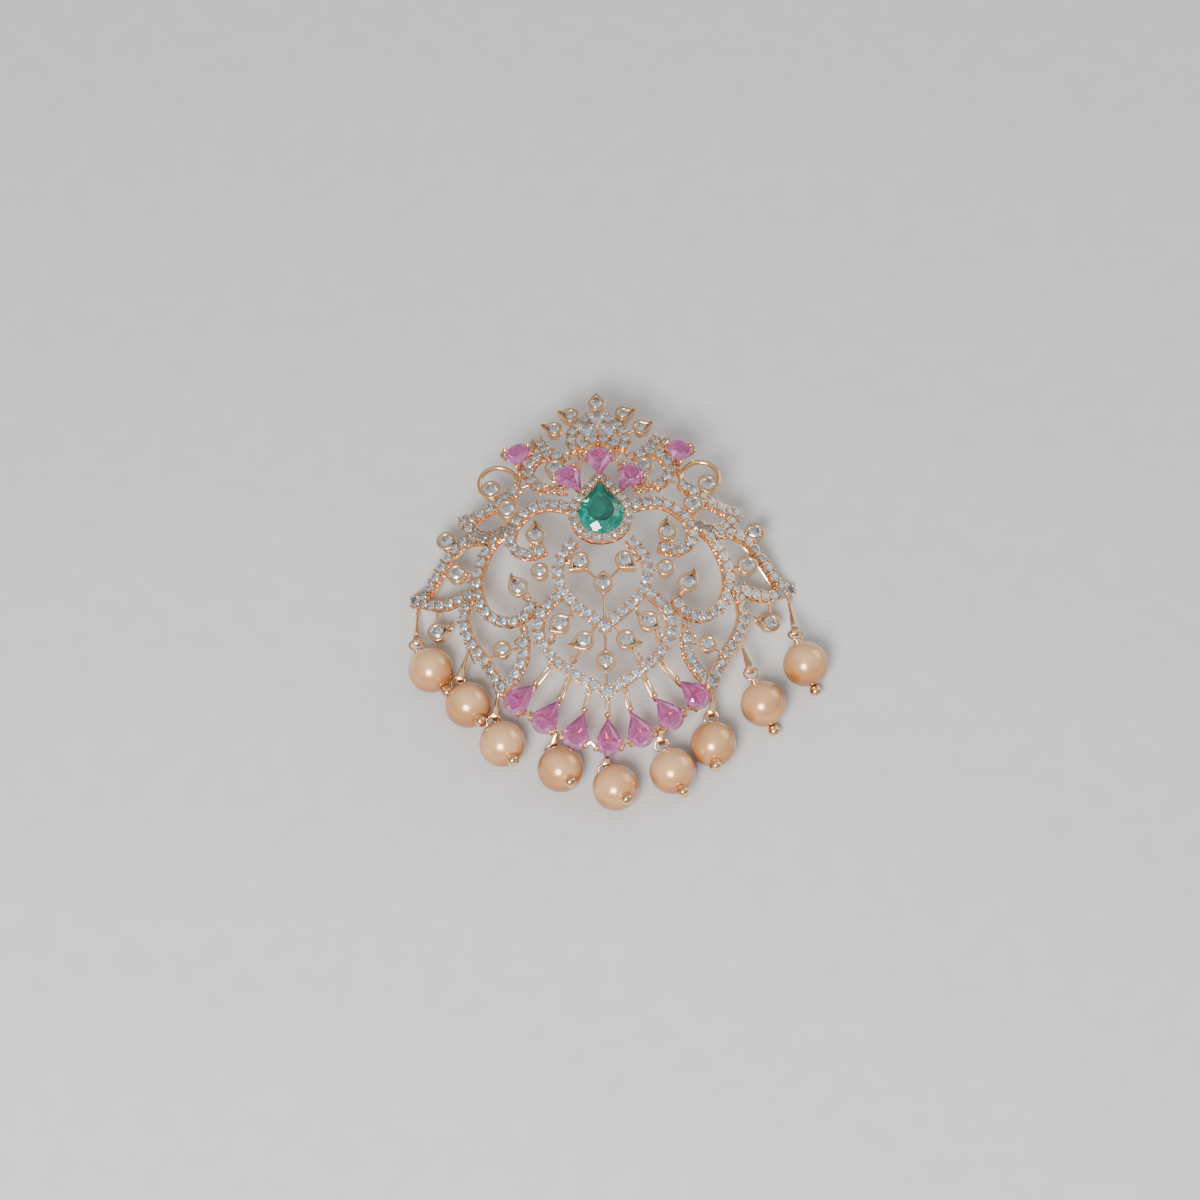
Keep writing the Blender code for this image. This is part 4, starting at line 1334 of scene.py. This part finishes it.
@dataclass
class PinkPears:
    """The twelve pink pears and the forks of wire that hold them."""

    dome: Dome
    length: float = 0.00440
    width: float = 0.00300
    gap: float = 0.00010
    crown: float = 0.16
    fall: float = 0.30
    prong: float = 0.00050
    prong_along: float = 0.42
    prong_out: float = 0.94
    prong_over: float = 0.00026
    knob: float = 0.00070
    wire: float = 0.00034
    bar: float = 0.00066
    bar_depth: float = 0.00048
    bar_edge: float = 0.00008
    bar_drop: float = 0.00032
    bar_under: float = 0.0001
    slot: float = 0.00020
    slot_start: float = 0.24
    fork_drop: float = 0.00048
    bow_bend: float = 0.6
    bow_swell: float = 0.8
    bow_spacing: float = 0.0003
    spine_spacing: float = 0.0004
    dimple: float = 0.12
    seats: dict[str, tuple[float, float, float, float, float]] = field(default_factory=lambda: {
        "crown_middle": (0.000, 0.630, 90, 0.98, 0.00100),
        "crown_side": (0.098, 0.532, 56, 0.98, 0.00125),
        "shoulder": (0.430, 0.768, 88, 0.77, 0.00060),
        "fringe_outer": (0.372, -0.482, -37, 0.98, 0.00010),
        "fringe_side": (0.250, -0.573, -52, 0.98, 0.00010),
        "fringe_inner": (0.122, -0.642, -69, 0.98, 0.00010),
        "fringe_middle": (0.000, -0.672, -90, 0.98, 0.00010),
    })
    bar_starts: dict[str, tuple[float, float]] = field(default_factory=lambda: {
        "fringe_outer": (0.262, -0.372), "fringe_side": (0.188, -0.455),
        "fringe_inner": (0.088, -0.515), "fringe_middle": (0.000, -0.560),
    })
    fork_starts: dict[str, tuple[float, float]] = field(default_factory=lambda: {
        "shoulder": (0.374, 0.715),
    })

    def places(self) -> list[tuple[PinkPlace, str, Side]]:
        """Every pink pear's place, with its name in the tables and its side."""
        found = []
        for own, (x, y, heading, share, lift) in self.seats.items():
            for side in sides_of(x):
                point = self.dome.place(side.value * x, y, lift)
                turned = math.radians(heading if side is Side.RIGHT else 180 - heading)
                flat = Vector((math.cos(turned), math.sin(turned), 0))
                length = share * self.length
                up = self.dome.up(point + flat * length / 2)
                along = (flat - flat.dot(up) * up).normalized()
                name = f"pink_{own}_{side.word}" if x else f"pink_{own}"
                found.append((PinkPlace(name, point, along, up.cross(along), up, length), own, side))
        return found

    def fork(self, seat: PinkPlace) -> tuple[list[Vector], list[Vector]]:
        """The lines of the fork under a stone.

        Args:
            seat: The stone's place.

        Returns:
            The bow from prong to prong, and the spine from its foot to the prong at the stone's point.
        """
        thick = self.prong / 2
        fall = self.fall * self.width + self.gap + self.wire / 2
        heart = seat.point + (seat.length - self.width / 2) * seat.along
        foot = heart - seat.up * fall - seat.along * self.wire
        out = (self.width / 2 + self.gap + thick) * seat.across
        knee = (self.width / 2 + self.gap) * seat.across
        rise, sink = seat.up * self.prong * self.bow_bend, seat.up * fall * self.bow_bend
        bow = [heart + out + rise, heart + knee - sink, foot, heart - knee - sink, heart - out + rise]
        spine = [foot, seat.point - seat.up * fall,
                 seat.point - seat.along * (self.gap + thick) + seat.up * thick]
        return bow, spine

    def slotted_bar(self, start: Vector, stop: Vector) -> bpy.types.Object:
        """A flat bar with a slot cut through it.

        Args:
            start: Its end in the frame.
            stop: Its end at the stone.

        Returns:
            The bar.
        """
        length = (stop - start).length
        made = Bench.new(bpy.ops.mesh.primitive_cube_add, size=1.0, location=(0.5, 0, 0))
        Bench.settle(made)
        Bench.mould(made, lambda p: Vector((p.x * length, p.y * self.bar, p.z * self.bar_depth)))
        with Bench.editing(made):
            bpy.ops.mesh.select_all(action="SELECT")
            bpy.ops.mesh.bisect(plane_co=(length * self.slot_start, 0, 0), plane_no=(1, 0, 0))
            Bench.pick(made, lambda middle, normal: abs(normal.z) > LEVEL
                       and middle.x > length * self.slot_start)
            bpy.ops.mesh.inset(thickness=(self.bar - self.slot) / 2)
            bpy.ops.mesh.bridge_edge_loops()
        Bench.modify(made, "BEVEL", width=self.bar_edge, segments=2, limit_method="ANGLE")
        made.data.transform(stand(start, stop - start, self.dome.up((start + stop) / 2)))
        return made

    def build(self, finishes: Finishes) -> None:
        """Model and dress the stones, their forks and their bars."""
        gold = []
        thin, thick = self.wire / 2, self.prong / 2
        for seat, own, side in self.places():
            radius = self.width / 2
            cut = Cut(sides=20, crown=2 * self.crown, pavilion=2 * self.fall, table=0.60, shoulder=0.84,
                      girdle=0.05, waist=0.6)
            stone = cut.stone(radius, Drop(tip=(seat.length - radius) / radius))
            heart = seat.point + (seat.length - radius) * seat.along
            stone.data.transform(stand(heart, -seat.along, seat.up))
            stone.name = stone.data.name = f"{seat.name}_stone"
            Bench.close(stone, 0)
            Bench.hand_over(stone, finishes.pink, [seat.name], Slot.PINK)
            bow, spine = self.fork(seat)
            curve = smooth_path(bow, self.bow_spacing)
            swell = thick * self.bow_swell
            radii = [thin + (swell - thin) * min(1.0, 2 * abs(2 * k / (len(curve) - 1) - 1))
                     for k in range(len(curve))]
            gold.append(Bench.wire(curve, radii, 8))
            line = smooth_path(spine, self.spine_spacing)
            gold.append(Bench.wire(line, [thin] * len(line), 8))
            over = heart + seat.along * radius * self.prong_along + seat.up * self.prong_over
            reach = seat.across * radius * self.prong_out
            for root, tip in ((bow[0], over + reach), (bow[-1], over - reach)):
                gold.append(Bench.wire([root, tip], [swell] * 2, 8))
            for end in (over + reach, over - reach, spine[-1]):
                dimple = self.knob * self.dimple if end is not spine[-1] else 0.0
                knob = ball(self.knob / 2, 16, 10, dimple)
                knob.data.transform(stand(end, seat.along, seat.up))
                gold.append(knob)
            if own in self.bar_starts:
                x, y = self.bar_starts[own]
                start = self.dome.place(side.value * x, y, -self.bar_drop)
                gold.append(self.slotted_bar(start, spine[-1] - seat.up * self.bar_under))
            if own in self.fork_starts:
                x, y = self.fork_starts[own]
                start = self.dome.place(side.value * x, y, -self.fork_drop)
                gold.append(Bench.wire([start, spine[0]], [thin] * 2, 8))
        made = Bench.join("fork_gold", gold)
        Bench.close(made, 40)
        Bench.hand_over(made, finishes.gold, ["frame"], Slot.GOLD)


@dataclass
class JoiningWork:
    """The wires that join collets and bands, and the two rings on the back."""

    dome: Dome
    wire: float = 0.00034
    depth: float = 0.00048
    ring: float = 0.00500
    ring_wire: float = 0.00060
    ring_drop: float = 0.00030
    ring_x: float = 0.534
    ring_y: float = 0.696
    curl_rise: float = 0.000007
    grain_drop: float = 0.00028
    plate_x: float = 0.425
    plate_y: float = 0.690
    plate_heading: float = 100.0
    plate_length: float = 0.00200
    plate_width: float = 0.00070
    plate_depth: float = 0.00050
    plate_taper: float = 0.6
    plate_edge: float = 0.00012
    wire_swell: tuple[float, ...] = (0.62, 0.48, 0.44, 0.48, 0.62)
    end_swell: tuple[float, ...] = (0.45, 0.30)
    end_lift: tuple[float, ...] = (-0.5, 1.0)
    curl_wire: float = 0.36
    curl_drop: float = 0.6
    grain_clear: float = 0.55

    def build(self, finishes: Finishes) -> None:
        """Model and dress the wires and rings."""
        gold = []
        for start, stop in WIRES + MIDDLE_WIRES:
            for side in (Side if start[0] or stop[0] else [Side.RIGHT]):
                ends = [self.dome.place(side.value * x, y, -self.depth) for x, y in (start, stop)]
                line = [ends[0].lerp(ends[1], k / 4) for k in range(5)]
                gold.append(Bench.wire(line, [self.wire * k for k in self.wire_swell], 8))
        for start, stop in PINS:
            for side in Side:
                ends = [self.dome.place(side.value * x, y, lift * self.wire)
                        for (x, y), lift in zip((start, stop), self.end_lift)]
                gold.append(Bench.wire(ends, [self.wire * k for k in self.end_swell], 8))
        for x, y, diameter, gap in CURLS:
            for side in sides_of(x):
                turned = gap if side is Side.RIGHT else 180 - gap
                spot = self.dome.place(side.value * x, y, -self.depth * self.curl_drop)
                here = self.dome.stand(spot, turned)
                bend = [here @ Vector((math.cos(k / 8) * diameter / 2, math.sin(k / 8) * diameter / 2,
                                       self.curl_rise * k)) for k in range(5, 46, 3)]
                gold.append(Bench.wire(bend, [self.wire * self.curl_wire] * len(bend), 6))
        for x, y, diameter in GRAINS:
            for side in sides_of(x):
                grain = ball(diameter / 2, 10, 6)
                spot = self.dome.place(side.value * x, y, -self.grain_drop)
                spot.z = max(spot.z, self.grain_clear * diameter)
                grain.data.transform(Matrix.Translation(spot))
                gold.append(grain)
        for side in Side:
            plate = Bench.new(bpy.ops.mesh.primitive_cube_add, size=1.0)
            Bench.mould(plate, lambda p: Vector((p.x * self.plate_length, p.y * self.plate_width
                                                 * (1.0 if p.x > 0 else self.plate_taper),
                                                 p.z * self.plate_depth)))
            Bench.modify(plate, "BEVEL", width=self.plate_edge, segments=2)
            plate.data.transform(self.dome.stand(
                self.dome.place(side.value * self.plate_x, self.plate_y, -self.ring_drop),
                self.plate_heading if side is Side.RIGHT else 180 - self.plate_heading))
            gold.append(plate)
            ring = Bench.new(bpy.ops.mesh.primitive_torus_add, major_segments=48, minor_segments=12,
                             major_radius=(self.ring - self.ring_wire) / 2,
                             minor_radius=self.ring_wire / 2)
            ring.data.transform(Matrix.Translation(
                self.dome.place(side.value * self.ring_x, self.ring_y, -self.ring_drop)))
            gold.append(ring)
        made = Bench.join("joining_gold", gold)
        Bench.close(made, 60)
        Bench.hand_over(made, finishes.gold, ["frame"], Slot.GOLD)


@dataclass
class PearlFringe:
    """Nine pearls on head pins, each hung by its eye in a hook of the frame."""

    dome: Dome
    diameter: float = 0.00522
    bore: float = 0.00050
    wire: float = 0.00028
    knob: float = 0.00140
    collar: float = 0.00040
    eye: float = 0.00190
    hook_length: float = 0.00200
    hook_width: float = 0.00080
    hook_height: float = 0.00095
    hook_bore: float = 0.00056
    hook_depth: float = 0.00050
    hook_wire: float = 0.00034
    hook_wall: float = 0.45
    hook_edge: float = 0.00007
    hook_out: float = 0.78
    hook_in: float = 0.40
    hook_waist: float = 0.50
    hook_root: float = 0.45
    hook_swell: tuple[float, ...] = (1.0, 0.8, 0.6, 0.5, 0.5, 0.6)
    pole: float = 0.496
    lip: float = 0.00004
    gap: float = 0.00010
    shaft: float = 1.3
    knob_cap: float = 0.86
    knob_tip: float = 0.16
    knob_in: float = 0.8
    knob_clear: float = 1.02
    flange: float = 0.62
    flange_wire: float = 0.22
    flange_in: float = 0.16
    coils: tuple[tuple[float, float], ...] = ((0.00002, 0.00026), (0.00020, 0.00034), (0.00038, 0.00042))
    coil_wire: float = 0.85
    coil_tilt: float = 0.12
    rows: list[tuple[float, float, float, float, tuple]] = field(default_factory=lambda: [
        (-0.905, -0.309, -57, -4, (-0.975, 0.130)),
        (-0.716, -0.519, -62, 22, (-0.698, -0.192)),
        (-0.543, -0.748, -67, 24, (-0.553, -0.460)),
        (-0.250, -0.902, -66, 34, ("pink_fringe_side_left", 1)),
        (0.028, -1.015, -64, 36, ("pink_fringe_middle", 0)),
        (0.322, -0.931, -71, 15, ("pink_fringe_side_right", -1)),
        (0.536, -0.785, -88, 17, (0.553, -0.460)),
        (0.805, -0.563, -67, -27, (0.698, -0.192)),
        (1.038, -0.338, -69, -27, (0.975, 0.130)),
    ])

    def pearl(self, centre: Vector, axis: Vector) -> bpy.types.Object:
        """A round pearl, with a dimple where its bore comes out at each end.

        Args:
            centre: Its middle.
            axis: The way to the ball of its pin.

        Returns:
            The pearl.
        """
        made = Bench.new(bpy.ops.mesh.primitive_uv_sphere_add, segments=64, ring_count=40,
                         radius=self.diameter / 2)
        with Bench.editing(made):
            for sign in (1, -1):
                Bench.pick(made, lambda middle, normal: sign * middle.z > self.diameter * self.pole)
                bpy.ops.mesh.inset(thickness=self.lip)
                Bench.push(0, 0, -sign * self.bore / 2)
        made.data.transform(stand(centre, Vector((1, 0, 0)), axis))
        return made

    def pin(self, centre: Vector, axis: Vector, foot: Vector, away: Vector) -> bpy.types.Object:
        """A head pin: an eye, a wound collar, a shaft through the pearl and a ball.

        Args:
            centre: The pearl's middle.
            axis: The way to the ball.
            foot: Where the eye starts.
            away: The way from there to the hook.

        Returns:
            The pin.
        """
        front = centre + axis * (self.diameter / 2 + self.gap)
        thin, thick = self.wire / 2, self.knob / 2
        side = (Vector((1, 0, 0)) - away.x * away).normalized()
        ring = Bench.new(bpy.ops.mesh.primitive_torus_add, major_segments=32, minor_segments=8,
                         major_radius=(self.eye - self.wire) / 2, minor_radius=thin)
        ring.data.transform(stand(foot + away * (self.eye - self.wire) / 2, side, side.cross(away)))
        shaft = Bench.wire([foot, front + axis * thin], [thin * self.shaft] * 2, 8)
        knob = ball(thick, 16, 10)
        with Bench.editing(knob):
            Bench.pick(knob, lambda middle, normal: middle.z > thick * self.knob_cap)
            bpy.ops.mesh.dissolve_faces()
            Bench.pick(knob, lambda middle, normal: middle.z > thick * self.knob_cap)
            bpy.ops.mesh.inset(thickness=thick * self.knob_tip)
            Bench.push(0, 0, thick * self.knob_tip)
        inner = front + axis * thick * self.knob_in
        clear = Vector((0, 0, max(0.0, self.knob_clear * thick - inner.z)))
        knob.data.transform(stand(inner + clear, Vector((1, 0, 0)), axis))
        flange = Bench.new(bpy.ops.mesh.primitive_torus_add, major_segments=24, minor_segments=8,
                           major_radius=thick * self.flange, minor_radius=thick * self.flange_wire)
        flange.data.transform(stand(front + axis * thick * self.flange_in + clear, Vector((1, 0, 0)), axis))
        made = [ring, shaft, knob, flange]
        for rise, reach in self.coils:
            coil = Bench.new(bpy.ops.mesh.primitive_torus_add, major_segments=20, minor_segments=6,
                             major_radius=reach, minor_radius=thin * self.coil_wire)
            tilt = Matrix.Rotation(self.coil_tilt, 4, "X")
            coil.data.transform(stand(foot + axis * rise, Vector((1, 0, 0)), axis) @ tilt)
            made.append(coil)
        return Bench.join("pin", made)

    def hook(self, bore: Vector, away: Vector, root: Vector) -> list[bpy.types.Object]:
        """A hook: a wire from the frame that ends in a spoon, pierced from side to side.

        Args:
            bore: The middle of its bore.
            away: The way to the frame.
            root: Where its wire starts in the frame.

        Returns:
            The hook's pieces.
        """
        side = (Vector((1, 0, 0)) - away.x * away).normalized()
        spoon = Bench.new(bpy.ops.mesh.primitive_cylinder_add, vertices=24, radius=1.0, depth=1.0,
                          rotation=(math.pi / 2, 0, 0))
        Bench.settle(spoon)
        with Bench.editing(spoon):
            Bench.pick(spoon, lambda middle, normal: abs(normal.y) > LEVEL)
            bpy.ops.mesh.inset(thickness=self.hook_wall)
            bpy.ops.mesh.bridge_edge_loops()

        def shape(point: Vector) -> Vector:
            """Where a point of the plain disc comes to lie on the spoon."""
            hole = math.hypot(point.x, point.z) < 0.8
            if hole:
                reach = self.hook_bore / 2 / math.hypot(point.x, point.z)
                return Vector((point.x * reach, point.y * self.hook_width, point.z * reach))
            long = self.hook_length * (self.hook_out if point.x > 0 else self.hook_in)
            waist = 1 - self.hook_waist * max(point.x, 0.0)
            return Vector((point.x * long, point.y * self.hook_width * waist,
                           point.z * self.hook_height / 2 * waist))

        Bench.mould(spoon, shape)
        Bench.modify(spoon, "BEVEL", width=self.hook_edge, segments=2, limit_method="ANGLE",
                     angle_limit=math.radians(50))
        spoon.data.transform(Matrix.Translation(bore) @ Matrix(
            (away, -side, away.cross(-side))).transposed().to_4x4())
        start = bore + away * self.hook_length * self.hook_root
        line = [start.lerp(root, k / 5) for k in range(6)]
        return [spoon, Bench.wire(line, [self.hook_wire * k for k in self.hook_swell], 8)]

    def build(self, finishes: Finishes, pears: PinkPears) -> None:
        """Model and dress the fringe.

        Args:
            finishes: The finishes.
            pears: The pink pears, from whose forks three of the hooks hang.
        """
        forks = {seat.name: pears.fork(seat)[0] for seat, _, _ in pears.places()}
        hooks = []
        for number, (x, y, heading, climb, start) in enumerate(self.rows, 1):
            low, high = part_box(f"pearl_{number}")
            turn, rise = math.radians(heading), math.radians(climb)
            axis = Vector((math.cos(turn) * math.cos(rise), math.sin(turn) * math.cos(rise),
                           math.sin(rise)))
            centre = Vector((x * self.dome.half_width + self.dome.origin.x,
                             y * self.dome.half_height + self.dome.origin.y, low.z + self.diameter / 2))
            foot = centre - axis * (self.diameter / 2 + self.collar)
            if isinstance(start[0], str):
                root = forks[start[0]][2 - start[1]]
            else:
                root = self.dome.place(*start, -self.hook_depth)
            away = (root - foot).normalized()
            pearl = self.pearl(centre, axis)
            pearl.name = pearl.data.name = f"pearl_bead_{number}"
            Bench.close(pearl, 60)
            Bench.hand_over(pearl, finishes.nacre, [f"pearl_{number}"], Slot.NACRE)
            pin = self.pin(centre, axis, foot, away)
            pin.name = pin.data.name = f"head_pin_{number}"
            Bench.close(pin, 60)
            Bench.hand_over(pin, finishes.gold, [f"pearl_pin_{number}"], Slot.GOLD)
            hooks += self.hook(foot + away * (self.eye - self.wire), away, root)
        made = Bench.join("hook_gold", hooks)
        Bench.close(made, 45)
        Bench.hand_over(made, finishes.gold, ["frame"], Slot.GOLD)


# ---------------------------------------------------------------------------------------------------------
# The picture
# ---------------------------------------------------------------------------------------------------------


@dataclass
class Studio:
    """A pale floor, soft light and the camera."""

    lens: float = 100.0
    distance: float = 0.379
    elevation: float = 61.0
    turn: float = 1.9
    aim_height: float = 0.0080
    off_x: float = 3.5
    off_y: float = 10.0
    picture: float = 1200.0
    sensor: float = 36.0
    near: float = 0.01
    lamps: tuple[tuple[str, tuple[float, float, float], float, float], ...] = (
        ("main lamp", (-0.089, -0.298, 0.328), 0.16, 3.0), ("side lamp", (0.40, 0.25, 0.22), 0.30, 0.6))
    sky: tuple[tuple[float, float], ...] = ((0.00, 0.12), (0.40, 0.48), (0.80, 0.42), (0.96, 0.90))

    def floor(self) -> None:
        """The surface that the pendant lies on."""
        made = Bench.new(bpy.ops.mesh.primitive_plane_add, size=3.0, location=(0, 0, 0))
        made.name = "floor"
        work = Painter("pale floor")
        grain = work.node("ShaderNodeTexNoise", Scale=900.0, Detail=3.0)
        work.link(work.ramp(grain.outputs["Fac"], [(0.3, (0.62, 0.61, 0.60)), (0.7, (0.66, 0.65, 0.64))]),
                  work.shader.inputs["Base Color"])
        work.set(Roughness=0.75)
        made.data.materials.append(work.material)

    @staticmethod
    def lamp(name: str, place: tuple[float, float, float], size: float, power: float,
             aim: Vector) -> None:
        """A soft square lamp.

        Args:
            name: Its name.
            place: Where it hangs.
            size: Its side.
            power: Its power in watts.
            aim: What it points at.
        """
        Bench.clear()
        bpy.ops.object.light_add(type="AREA", location=place)
        made = bpy.context.object
        made.name = name
        made.data.size, made.data.energy = size, power
        made.rotation_mode = "QUATERNION"
        made.rotation_quaternion = (Vector(place) - aim).to_track_quat("Z", "Y")

    def build(self, dome: Dome) -> None:
        """Set up the picture.

        Args:
            dome: The frame's dome, whose middle the camera looks at.
        """
        self.floor()
        aim = Vector((dome.origin.x, dome.origin.y, self.aim_height))
        for name, place, size, power in self.lamps:
            self.lamp(name, place, size, power, aim)
        world = bpy.data.worlds.new("soft room")
        world.use_nodes = True
        tree = world.node_tree
        way = tree.nodes.new("ShaderNodeTexCoord")
        parts = tree.nodes.new("ShaderNodeSeparateXYZ")
        sky = tree.nodes.new("ShaderNodeValToRGB")
        for element, (place, grey) in zip([sky.color_ramp.elements[0], sky.color_ramp.elements.new(0.5),
                                           sky.color_ramp.elements.new(0.5), sky.color_ramp.elements[-1]],
                                          self.sky):
            element.position, element.color = place, (grey * 0.98, grey, grey * 1.02, 1.0)
        tree.links.new(way.outputs["Generated"], parts.inputs["Vector"])
        tree.links.new(parts.outputs["Z"], sky.inputs["Fac"])
        tree.links.new(sky.outputs["Color"], tree.nodes["Background"].inputs["Color"])
        tree.nodes["Background"].inputs["Strength"].default_value = 1.0
        bpy.context.scene.world = world
        climb = math.radians(self.elevation)
        swing = Matrix.Rotation(-math.radians(self.turn), 3, "Z")
        back = swing @ Vector((0, -math.cos(climb), math.sin(climb)))
        right = swing @ Vector((1, 0, 0))
        Bench.clear()
        bpy.ops.object.camera_add()
        camera = bpy.context.object
        camera.matrix_world = (Matrix.Translation(aim + back * self.distance)
                               @ Matrix((right, back.cross(right), back)).transposed().to_4x4())
        camera.data.lens = self.lens
        camera.data.sensor_width = self.sensor
        camera.data.clip_start = self.near
        camera.data.shift_x = -self.off_x / self.picture
        camera.data.shift_y = -self.off_y / self.picture
        bpy.context.scene.camera = camera


def find_dome() -> Dome:
    """The dome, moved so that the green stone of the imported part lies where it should.

    Returns:
        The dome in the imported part's frame.
    """
    plain = Dome()
    green = GreenCentre(plain)
    low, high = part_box("emerald")
    point = plain.place(0.0, green.share_y + green.length / 2 / plain.half_height,
                        green.halo_lift + green.gap + green.crown * green.width)
    return Dome(origin=Vector(((low.x + high.x) / 2 - point.x, high.y - point.y, high.z - point.z)))


def main() -> None:
    """Build the pendant and the picture."""
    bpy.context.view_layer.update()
    dome = find_dome()
    log.info("the dome stands at %s mm", tuple(round(1000 * value, 3) for value in dome.origin))
    finishes = Finishes.make()
    StoneBands(dome).build(finishes)
    ClosedCollets(dome).build(finishes)
    CrownDrops(dome).build(finishes)
    GreenCentre(dome).build(finishes)
    pears = PinkPears(dome)
    pears.build(finishes)
    JoiningWork(dome).build(finishes)
    PearlFringe(dome).build(finishes, pears)
    Studio().build(dome)


if __name__ == "__main__":
    main()
